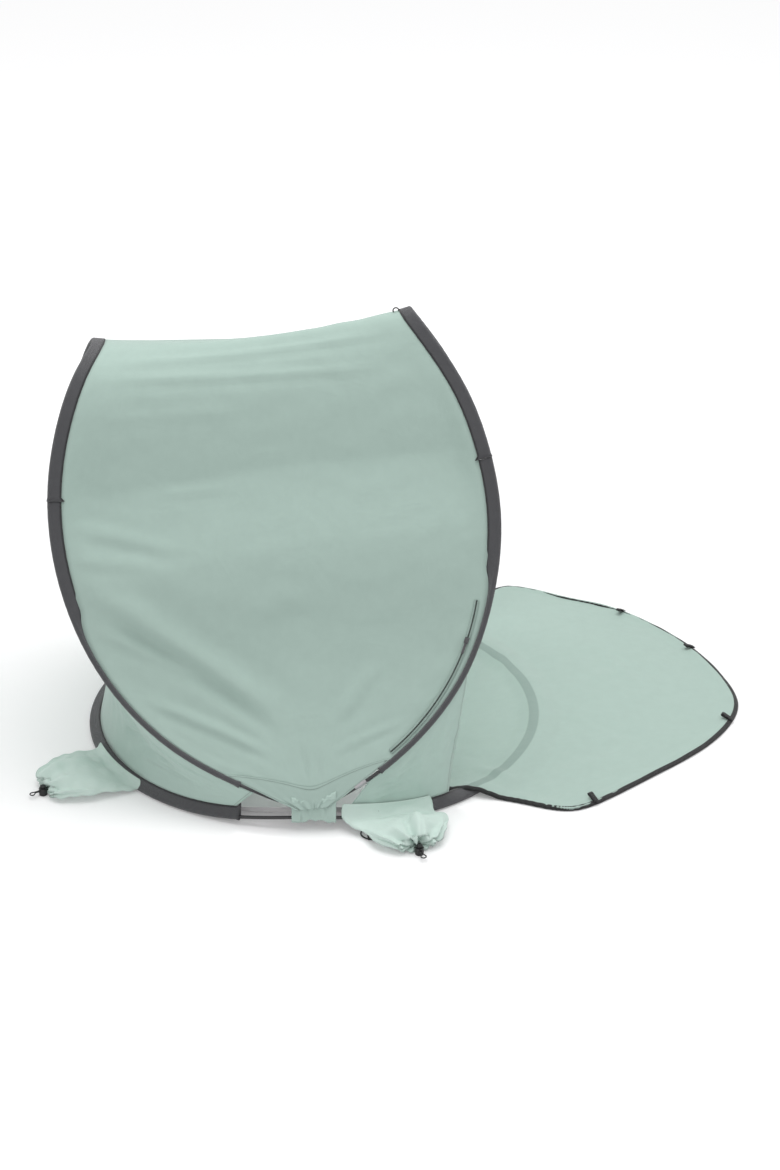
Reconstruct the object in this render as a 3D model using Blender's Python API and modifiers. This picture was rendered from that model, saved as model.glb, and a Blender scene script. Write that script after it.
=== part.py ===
"""Pop-up beach tent with a porch mat that folds up and zips to the front hoop.

Metres, +Z up. The origin is the middle of the floor hoop on the ground. +X is the
open front, where the porch mat lies. -Y is the near side, +Y the far side.
"""
import bpy
import bmesh
import numpy as np
from math import pi, sin, cos, radians
from mathutils import Matrix, Vector

# Frame: two spring hoops that cross at the near and far sides
floor_hoop_length = 0.952
floor_hoop_width = 0.916
canopy_height = 0.925
far_tuck = 0.045
rod_radius = 0.0035
rod_gap = 0.0005
hoop_lift = 0.022
ferrule_length = 0.026
ferrule_wall = 0.0011
ferrule_rest = 0.003

# Cloth and the hoop sleeves
cloth = 0.0012
fit_gap = 0.0003
sleeve_wall = 0.001
sleeve_ease = 0.0002
sleeve_tail = 0.018
sleeve_tail_half = 0.0013
cuff_gap = 0.0006
ridge_sag = 0.021
wall_sag = 0.012
wrap_length = 0.078
wrap_wall = 0.0016
tail_proud = 0.0050
hem_dip = 0.046

# Porch mat: a loose cloth with a taped edge and four peg tabs
porch_hinge_x = 0.275
porch_length = 0.640
porch_width = 0.916
porch_cloth = 0.0012
drape_inner = 0.046
drape_top_inner = 0.026
drape_top_outer = 0.010
drape_outer = 0.078
drape_step = 0.003
tape_width = 0.009
tape_wall = 0.0006
tape_gap = 0.0008
tab_length = 0.026
tab_width = 0.009
tab_webbing = 0.0012
tab_bend = 0.0009

# Zips along the front edge of the canopy
zip_tape_width = 0.010
zip_tape_thickness = 0.0012
zip_teeth_width = 0.0030
zip_teeth_height = 0.0013
zip_inset = 0.015
slider_length = 0.013
slider_width = 0.009
slider_height = 0.0044
pull_length = 0.022
pull_width = 0.005
pull_thickness = 0.0014
pull_pin_radius = 0.0009
pin_gap = 0.0002
slider_gap = 0.00035
slider_lip = 0.0007

# Sand pockets, each with a drawcord and a spring cord lock
pocket_width = 0.185
pocket_length = 0.150
pocket_loft = 0.022
pocket_cloth = 0.0010
pocket_seam = 0.0030
neck_radius = 0.0085
cord_radius = 0.00125
cord_spread = 0.0021
cord_run = 0.017
cord_eye = 0.0045
mouth_gap = 0.007
neck_length = 0.008
lock_radius = 0.0085
lock_height = 0.0150
lock_bore = 0.0052
lock_floor = 0.0020
lock_gap = 0.0004
lock_web = 0.0012
plunger_radius = 0.0048
plunger_rise = 0.0050
plunger_cap = 0.0020
plunger_cap_radius = 0.0062
press_travel = 0.0020
spring_wire = 0.0003
spring_radius = 0.0030
spring_turns = 3
spring_height = 0.0046

# Small cords and loops
peg_cord_radius = 0.0016
apex_cord_radius = 0.0013
apex_loop_rise = 0.009
apex_loop_half = 0.008


# Shares: places as parts of the sizes above, chosen by hand
hoop_shares = [
    # along the floor hoop, across it, up the height: rear top, near side, front top
    (-0.454, 0.000, 0.915), (-0.479, -0.096, 0.888), (-0.515, -0.169, 0.789),
    (-0.534, -0.224, 0.640), (-0.502, -0.295, 0.443), (-0.420, -0.362, 0.286),
    (-0.275, -0.434, 0.157), (-0.110, -0.483, 0.084), (0.011, -0.494, 0.056),
    (0.100, -0.483, 0.095), (0.221, -0.433, 0.182), (0.321, -0.369, 0.303),
    (0.375, -0.303, 0.441), (0.393, -0.222, 0.629), (0.360, -0.161, 0.780),
    (0.284, -0.080, 0.920), (0.210, 0.000, 1.000),
]
# how far the far lobe leans inwards at each of those points, of the far tuck
tuck_shares = [0.0, 0.27, 0.22, 0.0, 0.0, 0.0, 0.0, 0.0, 0.0, 0.0, 0.0, 0.0,
               -0.27, -0.80, -1.0, -0.78, 0.0]
# the mat's outline: forward of its hinge and across, near side, front, far side
porch_outline_shares = [
    (0.000, -0.347), (0.110, -0.371), (0.242, -0.400), (0.394, -0.428), (0.508, -0.384),
    (0.664, -0.288), (0.852, -0.162), (0.952, -0.060), (1.000, 0.044), (0.981, 0.153),
    (0.914, 0.286), (0.820, 0.397), (0.719, 0.480), (0.594, 0.548), (0.445, 0.598),
    (0.228, 0.650), (0.155, 0.575), (0.095, 0.440), (0.000, 0.330),
]
near_corner, far_corner = 3, 13
# a sand pocket from seam to neck: out along its reach, half width, thickness
pocket_shares = [(0.00, 1.00, 0.0), (0.13, 0.95, 0.55), (0.33, 0.85, 0.92), (0.56, 0.76, 1.00),
                 (0.76, 0.60, 0.92), (0.90, 0.33, 0.78)]
sleeve_joint_share = 0.29
sleeve_end_share = 0.875
twist_start_share, twist_end_share = 0.42, 0.62
twist_angle = radians(75)


def clear_scene():
    """Remove what the scene holds, so that the script can run twice."""
    for item in list(bpy.data.objects):
        bpy.data.objects.remove(item, do_unlink=True)


def new_collection(name):
    group = bpy.data.collections.new(name)
    bpy.context.scene.collection.children.link(group)
    return group


clear_scene()
tent = new_collection("beach_tent")
cutters = new_collection("cutters")


def finish(name, colour, roughness, metallic=0.0):
    """A plain Principled material."""
    mat = bpy.data.materials.new(name)
    mat.use_nodes = True
    shader = mat.node_tree.nodes["Principled BSDF"]
    shader.inputs["Base Color"].default_value = (*colour, 1.0)
    shader.inputs["Roughness"].default_value = roughness
    shader.inputs["Metallic"].default_value = metallic
    return mat


def add_object(name, mesh, colour, roughness, metallic=0.0, group=tent):
    """Put a mesh in the scene as one named piece with a material of its own."""
    piece = bpy.data.objects.new(name, mesh)
    group.objects.link(piece)
    mesh.materials.append(finish(name, colour, roughness, metallic))
    mesh.shade_smooth()
    mesh.set_sharp_from_angle(angle=radians(40))
    return piece


mint = (0.40, 0.52, 0.45)
pale_grey = (0.50, 0.50, 0.50)
charcoal = (0.062, 0.053, 0.066)
black = (0.02, 0.02, 0.02)
steel = (0.55, 0.55, 0.56)
fibreglass = (0.05, 0.05, 0.055)


def unit(v):
    v = np.asarray(v, float)
    return v / np.linalg.norm(v, axis=-1, keepdims=True)


def smooth_step(low, high, x):
    t = np.clip((np.asarray(x, float) - low) / (high - low), 0.0, 1.0)
    return t * t * (3.0 - 2.0 * t)


def mirrored(points):
    return np.asarray(points, float) * np.array([1.0, -1.0, 1.0])


def spline_tangents(points, closed):
    """Tangents of a chord-length cubic through points, by its smoothness equations."""
    count = len(points)
    chord = np.linalg.norm(np.roll(points, -1, 0) - points, axis=1)
    system = np.zeros((count, count))
    right = np.zeros_like(points)
    for i in range(count):
        if not closed and i in (0, count - 1):
            near, step = (1, chord[0]) if i == 0 else (count - 2, chord[-2])
            system[i, i], system[i, near] = 2.0, 1.0
            right[i] = 3.0 * (points[near] - points[i]) / step * (1 if i == 0 else -1)
            continue
        before, after = chord[i - 1], chord[i]
        prev, nxt = points[i - 1], points[(i + 1) % count]
        system[i, i - 1] += after
        system[i, i] += 2.0 * (before + after)
        system[i, (i + 1) % count] += before
        right[i] = 3.0 * (after * (points[i] - prev) / before + before * (nxt - points[i]) / after)
    return np.linalg.solve(system, right), chord


def smooth_curve(points, closed=False, fine=24):
    """A dense polyline of the cubic spline through the points."""
    points = np.asarray(points, float)
    tangents, chord = spline_tangents(points, closed)
    t = (np.arange(fine) / fine)[:, None]
    spans = []
    for i in range(len(points) if closed else len(points) - 1):
        j = (i + 1) % len(points)
        spans.append(points[i] * (1 + 2 * t) * (1 - t) ** 2 + points[j] * t * t * (3 - 2 * t)
                     + chord[i] * (tangents[i] * t * (1 - t) ** 2 - tangents[j] * t * t * (1 - t)))
    if not closed:
        spans.append(points[-1:])
    return np.concatenate(spans)


def by_length(curve, places):
    """Points on a polyline at shares of its length."""
    run = np.concatenate([[0.0], np.cumsum(np.linalg.norm(np.diff(curve, axis=0), axis=1))])
    at = np.asarray(places, float) * run[-1]
    return np.stack([np.interp(at, run, curve[:, i]) for i in range(curve.shape[1])], 1)


def grid_mesh(name, grid, closed_columns=False, cap_first=False, seam_first=False):
    """Quads over a grid of points (rows, columns, 3), seen outwards by rows x columns."""
    rows, columns = grid.shape[:2]
    index = np.arange(rows * columns).reshape(rows, columns)
    faces = []
    for i in range(rows - 1):
        for j in range(columns if closed_columns else columns - 1):
            k = (j + 1) % columns
            faces.append([index[i, j], index[i + 1, j], index[i + 1, k], index[i, k]])
    if cap_first:
        faces.append(list(index[0]))
    if seam_first:
        faces += [[index[0, j], index[0, j + 1], index[0, -j - 2], index[0, -j - 1]]
                  for j in range(columns // 2 - 1)]
    mesh = bpy.data.meshes.new(name)
    mesh.from_pydata(grid.reshape(-1, 3).tolist(), [], [[int(v) for v in f] for f in faces])
    mesh.validate()
    return mesh


def add_wall(piece, thickness):
    """Give an open surface its thickness."""
    wall = piece.modifiers.new("wall", "SOLIDIFY")
    wall.thickness = thickness
    wall.offset = 0.0
    wall.use_even_offset = True


def cloth_sheet(name, grid, colour=mint, thickness=cloth):
    """A sheet of cloth: a grid surface with the cloth's thickness."""
    piece = add_object(name, grid_mesh(name, grid), colour, 0.8)
    add_wall(piece, thickness)


def round_wire(name, points, radius, colour, closed=False, roughness=0.5, metallic=0.0,
               fineness=2, swell=None):
    """A wire or cord as a curve with a round bevel and filled caps."""
    curve = bpy.data.curves.new(name, "CURVE")
    curve.dimensions = "3D"
    curve.bevel_depth = radius
    curve.bevel_resolution = fineness
    curve.use_fill_caps = not closed
    spline = curve.splines.new("POLY")
    spline.points.add(len(points) - 1)
    spline.use_cyclic_u = closed
    for place, point, size in zip(spline.points, points, swell or [1.0] * len(points)):
        place.co = (*point, 1.0)
        place.radius = size
    piece = bpy.data.objects.new(name, curve)
    tent.objects.link(piece)
    curve.materials.append(finish(name, colour, roughness, metallic))


def swept_grid(path, side, up, section):
    """Section points (side, up) carried along a path, as a grid of rows."""
    section = np.asarray(section, float)
    return (path[:, None, :] + section[None, :, :1] * side[:, None, :]
            + section[None, :, 1:] * up[:, None, :])


def closed_from_bmesh(name, bm, colour, roughness, metallic=0.0):
    """Make a bmesh a piece, with its faces pointing out."""
    bm.normal_update()
    bmesh.ops.recalc_face_normals(bm, faces=bm.faces)
    mesh = bpy.data.meshes.new(name)
    bm.to_mesh(mesh)
    bm.free()
    return add_object(name, mesh, colour, roughness, metallic)


def solid_sweep(name, grid, colour, roughness=0.7, metallic=0.0):
    """A swept closed section with flat ends, as one solid."""
    bm = bmesh.new()
    rings = [[bm.verts.new(p) for p in row] for row in grid]
    count = len(rings[0])
    for first, second in zip(rings, rings[1:]):
        for j in range(count):
            k = (j + 1) % count
            bm.faces.new((first[j], first[k], second[k], second[j]))
    bm.faces.new(rings[0])
    bm.faces.new(rings[-1])
    return closed_from_bmesh(name, bm, colour, roughness, metallic)


# Canopy hoop: one spring rod bent into a near and a far lobe
quarter_steps = 20
hoop_scale = np.array([floor_hoop_length, floor_hoop_width, canopy_height])
near_half = np.array(hoop_shares) * hoop_scale
far_half = mirrored(near_half)
far_half[:, 0] += far_tuck * np.array(tuck_shares)
control = np.concatenate([near_half, far_half[-2:0:-1]])
per_span = 24
bottom_point, top_point = 8 * per_span, 16 * per_span
dense = smooth_curve(control, closed=True, fine=per_span)
dense = np.concatenate([dense, dense[:1]])
steps = np.arange(quarter_steps + 1) / quarter_steps


def both_sides(near_arc, far_arc):
    """Rows from the near bottom over the top to the far bottom, both arcs from the bottom."""
    return np.concatenate([by_length(near_arc, steps), by_length(far_arc, steps)[-2::-1]])


rear_line = both_sides(dense[bottom_point::-1], dense[top_point + bottom_point:])
front_line = both_sides(dense[bottom_point:top_point + 1],
                        dense[top_point + bottom_point:top_point - 1:-1])
hoop_loop = np.concatenate([rear_line[quarter_steps:0:-1], front_line[:-1],
                            rear_line[:quarter_steps:-1]])
round_wire("canopy_hoop_rod", hoop_loop, rod_radius, fibreglass, closed=True)


def line_tangents(line):
    return unit(np.gradient(line, axis=0))


middle_line = (rear_line + front_line) / 2.0
row_share = np.abs(np.arange(2 * quarter_steps + 1) - quarter_steps) / quarter_steps


def edge_frame(line):
    """Along, into the panel and into the tent, for each row of a hoop line."""
    along = line_tangents(line)
    pull_share = 0.7
    rows = quarter_steps + (np.arange(2 * quarter_steps + 1) - quarter_steps) * pull_share
    target = np.stack([np.interp(rows, np.arange(len(rows)), middle_line[:, i])
                       for i in range(3)], 1)
    into = target - line
    into = unit(into - along * np.sum(into * along, 1, keepdims=True))
    inner = np.cross(along, into)
    centre = np.array([0.0, 0.0, canopy_height / 2.0])
    inner *= np.sign(np.sum(inner * (centre - line), 1, keepdims=True))
    return along, into, unit(inner)


sleeve_mid = rod_radius + rod_gap + sleeve_ease + sleeve_wall / 2.0
sleeve_mid_room = sleeve_mid / cos(radians(22.5))
sleeve_outer = sleeve_mid_room + sleeve_wall / 2.0
sleeve_reach = sleeve_tail + sleeve_wall / 2.0 + 4 * fit_gap
back_long, back_short = sleeve_mid_room * cos(radians(22.5)), sleeve_mid_room * sin(radians(22.5))
shoulder_long, shoulder_high = sleeve_mid_room * 0.45, sleeve_mid_room * 0.95
sleeve_section = np.array([
    (-back_long, back_short),
    (-back_short, back_long),
    (shoulder_long, shoulder_high),
    (sleeve_tail, sleeve_tail_half),
    (sleeve_tail, -sleeve_tail_half),
    (shoulder_long, -shoulder_high),
    (-back_short, -back_long),
    (-back_long, -back_short),
])
sleeve_turn = twist_angle * smooth_step(twist_start_share, twist_end_share, row_share)
edge_clear = sleeve_outer + 3 * fit_gap
turned_inset = edge_clear / np.maximum(np.sin(sleeve_turn), edge_clear / sleeve_reach)
edge_inset = np.clip(turned_inset, edge_clear, sleeve_reach)
rear_frame = edge_frame(rear_line)
front_frame = edge_frame(front_line)


def part_rows(line, first, last):
    """Rows first to last of a line, where both may fall between two rows."""
    inside = np.arange(int(np.floor(first)) + 1, int(np.ceil(last)))
    rows = np.concatenate([[first], inside, [last]])
    return np.stack([np.interp(rows, np.arange(len(line)), line[:, i])
                     for i in range(line.shape[1])], 1)


def sleeve(name, line, frame, first, last):
    """A cloth sleeve round the rod, open at both ends, with its sewn tail."""
    along, into, inner = frame
    turn = sleeve_turn[:, None]
    tail = into * np.cos(turn) + inner * np.sin(turn)
    across = unit(np.cross(along, tail))
    grid = swept_grid(part_rows(line, first, last), unit(part_rows(tail, first, last)),
                      unit(part_rows(across, first, last)), sleeve_section)
    piece = add_object(name, grid_mesh(name, grid, closed_columns=True), charcoal, 0.85)
    add_wall(piece, sleeve_wall)


row_length = np.linalg.norm(rear_line[1] - rear_line[0])
joint_rows = sleeve_joint_share * quarter_steps
end_rows = sleeve_end_share * quarter_steps
cuff_rows = cuff_gap / row_length
middle_row = quarter_steps
for end, line, frame in (("rear", rear_line, rear_frame), ("front", front_line, front_frame)):
    sleeve(f"sleeve_{end}_top", line, frame, middle_row - joint_rows, middle_row + joint_rows)
    sleeve(f"sleeve_near_{end}", line, frame, middle_row - end_rows,
           middle_row - joint_rows - cuff_rows)
    sleeve(f"sleeve_far_{end}", line, frame, middle_row + joint_rows + cuff_rows,
           middle_row + end_rows)

# Floor hoop: one spring rod in its own sleeve, lifted where it meets the canopy hoop
floor_steps = 64
bare_steps = 3
ground_rod_height = sleeve_outer
lift_power = 16


def floor_hoop_point(angle):
    """The floor hoop's centre line: an ellipse, lifted near its two crossings."""
    angle = np.asarray(angle, float)
    lift = hoop_lift * np.abs(np.sin(angle)) ** lift_power
    return np.stack([floor_hoop_length / 2.0 * np.cos(angle),
                     floor_hoop_width / 2.0 * np.sin(angle), ground_rod_height + lift], -1)


floor_angles = -pi / 2 + 2 * pi * np.arange(floor_steps) / floor_steps
floor_loop = floor_hoop_point(floor_angles)
round_wire("floor_hoop_rod", floor_loop, rod_radius, fibreglass, closed=True)


def floor_frame(angle):
    """Along, towards the middle, and up, for angles round the floor hoop."""
    step = 2 * pi / floor_steps
    along = unit(floor_hoop_point(angle + step / 2) - floor_hoop_point(angle - step / 2))
    up = np.zeros_like(along)
    up[..., 2] = 1.0
    inward = unit(np.cross(up, along))
    return along, inward, up


front_angles = floor_angles[bare_steps:floor_steps // 2 - bare_steps + 1]
for name, angles in (("floor_sleeve_front", front_angles),
                     ("floor_sleeve_rear", front_angles + pi)):
    along, inward, up = floor_frame(angles)
    grid = swept_grid(floor_hoop_point(angles), inward, up, sleeve_section)
    piece = add_object(name, grid_mesh(name, grid, closed_columns=True), charcoal, 0.85)
    add_wall(piece, sleeve_wall)

# Canopy: one sheet stretched across both lobes, sagging between rear and front
canopy_columns = 6
canopy_rows = np.arange(middle_row - int(end_rows), middle_row + int(end_rows) + 1)
rear_edge = rear_line + rear_frame[1] * edge_inset[:, None]
front_edge = front_line + front_frame[1] * edge_inset[:, None]


def saddle_grid(rear, front, inner, rows, sag):
    """Lines from rear edge to front edge, bowed inwards most at their middle."""
    across = np.linspace(0.0, 1.0, canopy_columns + 1)[None, :, None]
    straight = rear[rows][:, None] * (1 - across) + front[rows][:, None] * across
    return straight + inner[rows][:, None] * sag[rows][:, None, None] * np.sin(pi * across)


canopy_inner = unit(rear_frame[2] + front_frame[2])
canopy_sag = ridge_sag + (wall_sag - ridge_sag) * smooth_step(0.0, 0.5, row_share)
canopy_sag = canopy_sag * (1.0 - smooth_step(0.5, 1.0, row_share))
canopy_grid = saddle_grid(rear_edge, front_edge, canopy_inner, canopy_rows, canopy_sag)
dip_share = np.sin(pi * np.arange(canopy_columns + 1) / canopy_columns)[:, None]
for hem_row, next_row in ((0, 1), (-1, -2)):
    fall = unit(canopy_grid[hem_row] - canopy_grid[next_row])
    canopy_grid[hem_row] += fall * dip_share * hem_dip
cloth_sheet("canopy", canopy_grid[:, ::-1])

# Tails: a triangle of cloth from the canopy's hem down to each crossing of the hoops
tail_rows = 3
tail_end_share = 0.12
tail_taper = 1.25
wrap_depth = rod_radius + 2 * rod_gap + wrap_wall + cloth / 2.0 + 3 * fit_gap
down = np.linspace(0.0, 1.0, tail_rows + 1)[:, None, None]
tail_width = tail_end_share + (1.0 - tail_end_share) * (1.0 - down) ** tail_taper


def tail_tab(name, hem, above, foot, side):
    """A tapered flap from a hem of the canopy down to the outside of a crossing."""
    middle = hem[len(hem) // 2]
    slope = unit(middle - foot)[2]
    end = foot + np.array([0.0, side * (wrap_depth / slope + tail_proud), 0.0])
    along = unit(hem[-1] - hem[0])
    reach = ((hem - middle) @ along)[:, None] * along
    head = hem + unit(hem - above) * 2 * fit_gap - reach
    cloth_sheet(name, head[None] * (1.0 - down) + end * down + reach[None] * tail_width)


tail_tab("tail_tab_near", canopy_grid[0], canopy_grid[1], rear_line[0], -1.0)
tail_tab("tail_tab_far", canopy_grid[-1], canopy_grid[-2], rear_line[-1], 1.0)

# Wraps: gathered cloth sewn round both rods where they cross
wrap_steps = 6
wrap_x = rear_line[0][0] + wrap_length * (np.arange(wrap_steps + 1) / wrap_steps - 0.5)
wrap_round = rod_radius + 2 * rod_gap + wrap_wall / 2.0
wrap_spread = radians(18)
wrap_fan = radians(45) * np.arange(5)
near_floor = floor_hoop_point(np.linspace(-pi / 2 - wrap_spread, -pi / 2 + wrap_spread, 73))


def hoop_wrap(name, upper_line, lower_line):
    """A flattened tube of cloth round both rods, along +X."""
    upper, lower = (np.stack([np.interp(wrap_x, line[:, 0], line[:, i]) for i in range(3)], 1)
                    for line in (upper_line, lower_line))
    rings = []
    for top, foot in zip(upper, lower):
        rise = unit(top - foot)
        out = unit(np.cross(rise, np.array([1.0, 0.0, 0.0])))
        arc = [wrap_round * (out * cos(a) + rise * sin(a)) for a in wrap_fan]
        rings.append([top + a for a in arc] + [foot - a for a in arc])
    piece = add_object(name, grid_mesh(name, np.array(rings), closed_columns=True), mint, 0.8)
    add_wall(piece, wrap_wall)


hoop_wrap("hoop_wrap_near", np.concatenate([rear_line[3:0:-1], front_line[:4]]), near_floor)
hoop_wrap("hoop_wrap_far", np.concatenate([rear_line[-4:-1], front_line[:-5:-1]]),
          mirrored(near_floor))

# Ferrules: steel tubes that join the ends of each rod, on bare straight stretches
ferrule_sides = 10


def ferrule(name, start, end):
    """A short open tube near the end of the stretch from start to end."""
    along = unit(end - start)
    middle = end - along * (ferrule_length / 2.0 + ferrule_rest)
    radius = rod_radius + rod_gap + ferrule_wall / 2.0
    bm = bmesh.new()
    bmesh.ops.create_cone(bm, cap_ends=False, segments=ferrule_sides, radius1=radius,
                          radius2=radius, depth=ferrule_length)
    turn = Vector(along).to_track_quat("Z", "Y").to_matrix().to_4x4()
    bm.transform(Matrix.Translation(Vector(middle)) @ turn)
    piece = closed_from_bmesh(name, bm, steel, 0.3, 0.9)
    add_wall(piece, ferrule_wall)


ferrule("canopy_hoop_ferrule", front_line[1], front_line[2])
ferrule("floor_hoop_ferrule", mirrored(floor_loop[1]), mirrored(floor_loop[2]))

# Rear wall: from the rear of the canopy hoop down to the rear of the floor hoop
wall_rows = 4
wall_end_share = 0.93
wall_end_angle = radians(72)
seam_clear = sleeve_outer + cloth / 2.0 + 2 * fit_gap


def draped_wall(top_line, top_frame, rows, angles, sag, steps_down):
    """A sheet between rows of the canopy hoop and angles on the floor hoop."""
    foot = floor_hoop_point(angles)
    foot[:, 2] += seam_clear
    head = top_line[rows]
    along = top_frame[0][rows]
    fall = foot - head
    fall = unit(fall - along * np.sum(fall * along, 1, keepdims=True))
    head = head + fall * seam_clear
    t = np.linspace(0.0, 1.0, steps_down + 1)[:, None, None]
    inner = -unit(foot * np.array([1.0, 1.0, 0.0]))
    bow = sag * np.sin(pi * t) * inner[None]
    return head[None] * (1 - t) + foot[None] * t + bow


wall_index = np.arange(middle_row - int(wall_end_share * quarter_steps),
                       middle_row + int(wall_end_share * quarter_steps) + 1)
wall_turn = (wall_index - middle_row) / (wall_index[-1] - middle_row)
rear_grid = draped_wall(rear_line, rear_frame, wall_index, pi - wall_end_angle * wall_turn,
                        wall_sag, wall_rows)
cloth_sheet("rear_wall", rear_grid)

# Front gussets: a low side wall at each side of the entrance
gusset_top_share = 0.667
gusset_front_angle = radians(53)
gusset_end_angle = radians(80)
gusset_index = np.arange(middle_row - int(wall_end_share * quarter_steps),
                         middle_row - int(gusset_top_share * quarter_steps) + 1)
gusset_turn = np.linspace(gusset_end_angle, gusset_front_angle, len(gusset_index))
gusset_rows = 4
cloth_sheet("front_gusset_near", draped_wall(front_line, front_frame, gusset_index,
                                             -gusset_turn, 0.0, gusset_rows))
cloth_sheet("front_gusset_far", draped_wall(front_line, front_frame, 2 * middle_row - gusset_index,
                                            gusset_turn, 0.0, gusset_rows))

# Floor sheet: a round of cloth sewn inside the floor hoop
floor_shares = [0.78, 0.95, 1.0]
lift_start_share, rim_start_share = 0.78, 0.95
along, inward, up = floor_frame(floor_angles)
rim = floor_loop + inward * sleeve_reach
floor_rows = []
for share in floor_shares:
    ring = rim * share
    ring[:, 2] = cloth / 2.0 + (rim[:, 2] - ground_rod_height) * smooth_step(lift_start_share, 1.0, share)
    ring[:, 2] += (ground_rod_height - cloth / 2.0) * smooth_step(rim_start_share, 1.0, share)
    floor_rows.append(ring)
piece = add_object("floor_sheet", grid_mesh("floor_sheet", np.array(floor_rows)[:, ::-1],
                                            closed_columns=True, cap_first=True), pale_grey, 0.8)
add_wall(piece, cloth)

# Porch mat: sewn to the floor sheet at its rear edge, lying over the front of the hoop
porch_fine = 12
porch_scale = np.array([porch_length, porch_width])
outline = smooth_curve(np.array(porch_outline_shares) * porch_scale, fine=porch_fine)
outline = outline + np.array([porch_hinge_x, 0.0])
outline_along = line_tangents(outline)
mat_edge = outline + (np.stack([-outline_along[:, 1], outline_along[:, 0]], 1)
                      * (tape_wall + tape_gap))
mat_edge[[0, -1], 0] = porch_hinge_x
near_side = mat_edge[:near_corner * porch_fine + 1]
front_side = mat_edge[near_corner * porch_fine:far_corner * porch_fine + 1]
far_side = mat_edge[:far_corner * porch_fine - 1:-1]
hinge_side = np.array([near_side[0], far_side[0]])
tape_half = porch_cloth / 2.0 + tape_gap + tape_wall


def porch_point(s, t):
    """Places on the mat: s from the hinge to the front, t from the near to the far side."""
    s, t = (v.ravel() for v in np.broadcast_arrays(s, t))
    near, far = by_length(near_side, s), by_length(far_side, s)
    hinge, front = by_length(hinge_side, t), by_length(front_side, t)
    s, t = s[:, None], t[:, None]
    corners = ((1 - s) * ((1 - t) * near_side[0] + t * far_side[0])
               + s * ((1 - t) * near_side[-1] + t * far_side[-1]))
    return (1 - t) * near + t * far + (1 - s) * hinge + s * front - corners


def beyond_hoop(place):
    """How far places lie outside the floor hoop's centre line, and their angle round it."""
    reach = place / np.array([floor_hoop_length, floor_hoop_width]) * 2.0
    share = np.linalg.norm(reach, axis=-1)
    return (np.linalg.norm(place, axis=-1) * (1.0 - 1.0 / share),
            np.arctan2(reach[..., 1], reach[..., 0]))


def mat_height(place):
    """Height of the mat's underside over the floor sheet, the sleeve and the ground."""
    out, angle = beyond_hoop(place)
    low = np.where(out < 0.0, cloth + fit_gap, 0.0)
    high = floor_hoop_point(angle)[..., 2] + sleeve_outer + fit_gap
    rise = smooth_step(-drape_inner, -drape_top_inner, out)
    fall = 1.0 - smooth_step(drape_top_outer, drape_outer, out)
    return low + (high - low) * rise * fall


mat_columns, mat_front_rows, probe_steps = 20, 3, 60
drape_breaks = [-drape_inner, -(drape_inner + drape_top_inner) / 2.0, -drape_top_inner,
                drape_top_outer, (drape_top_outer + drape_outer) / 2.0, drape_outer]
probe = np.arange(probe_steps + 1) / probe_steps
mat_lines = []
for t in np.arange(mat_columns + 1) / mat_columns:
    out = beyond_hoop(porch_point(probe, t))[0]
    stops = [max(stop, out[0] + drape_step * (k + 1)) for k, stop in enumerate(drape_breaks)]
    s = np.concatenate([[0.0], np.interp(stops, out, probe)])
    s = np.concatenate([s, s[-1] + (1.0 - s[-1]) * np.arange(1, mat_front_rows + 1) / mat_front_rows])
    mat_lines.append(porch_point(s, t))
mat_places = np.array(mat_lines).transpose(1, 0, 2)
mat_grid = np.concatenate([mat_places, mat_height(mat_places)[..., None]], 2)
mat_grid[..., 2] += tape_half + fit_gap
hem_columns = 3
mat_grid[0, hem_columns:-hem_columns, 2] -= tape_half - porch_cloth / 2.0
cloth_sheet("porch_mat", mat_grid, mint, porch_cloth)
porch_hinge_z = mat_grid[0, mat_columns // 2, 2] + porch_cloth / 2.0

# Binding: a folded tape that grips the mat's three free edges
edge_path = np.concatenate([mat_grid[:, 0], mat_grid[-1, 1:], mat_grid[-2::-1, -1]])
inner_path = np.concatenate([mat_grid[:-1, 1], mat_grid[-2, 1:2], mat_grid[-2, 1:-1],
                             mat_grid[-2, -2:-1], mat_grid[-2::-1, -2]])
edge_along = line_tangents(edge_path)
edge_in = unit(inner_path - edge_path)
edge_up = unit(np.cross(edge_along, edge_in))
slot_half = porch_cloth / 2.0 + tape_gap
tape_outer = tape_wall + tape_gap
tape_section = [(-tape_outer, -tape_half), (tape_width, -tape_half), (tape_width, -slot_half),
                (-tape_gap, -slot_half), (-tape_gap, slot_half), (tape_width, slot_half),
                (tape_width, tape_half), (-tape_outer, tape_half)]
solid_sweep("porch_binding", swept_grid(edge_path, edge_in, edge_up, tape_section), black)

# Peg tabs: webbing loops sewn over the binding and folded onto the mat
tab_vertices = [10, 18, 24, 28]
tab_over = tape_half + fit_gap + tab_webbing / 2.0
tab_down = slot_half + fit_gap + tab_webbing / 2.0
tab_fold = tab_webbing + 2 * tab_bend
tab_line = [(0.0, tab_over), (tape_width + tab_webbing, tab_over), (tape_width + 3 * tab_webbing, tab_down),
            (tab_length, tab_down), (tab_length + tab_fold / 2.0, tab_down + tab_fold / 2.0),
            (tab_length, tab_down + tab_fold), (tape_width, tab_over + tab_fold),
            (0.0, tab_over + tab_fold)]

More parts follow.
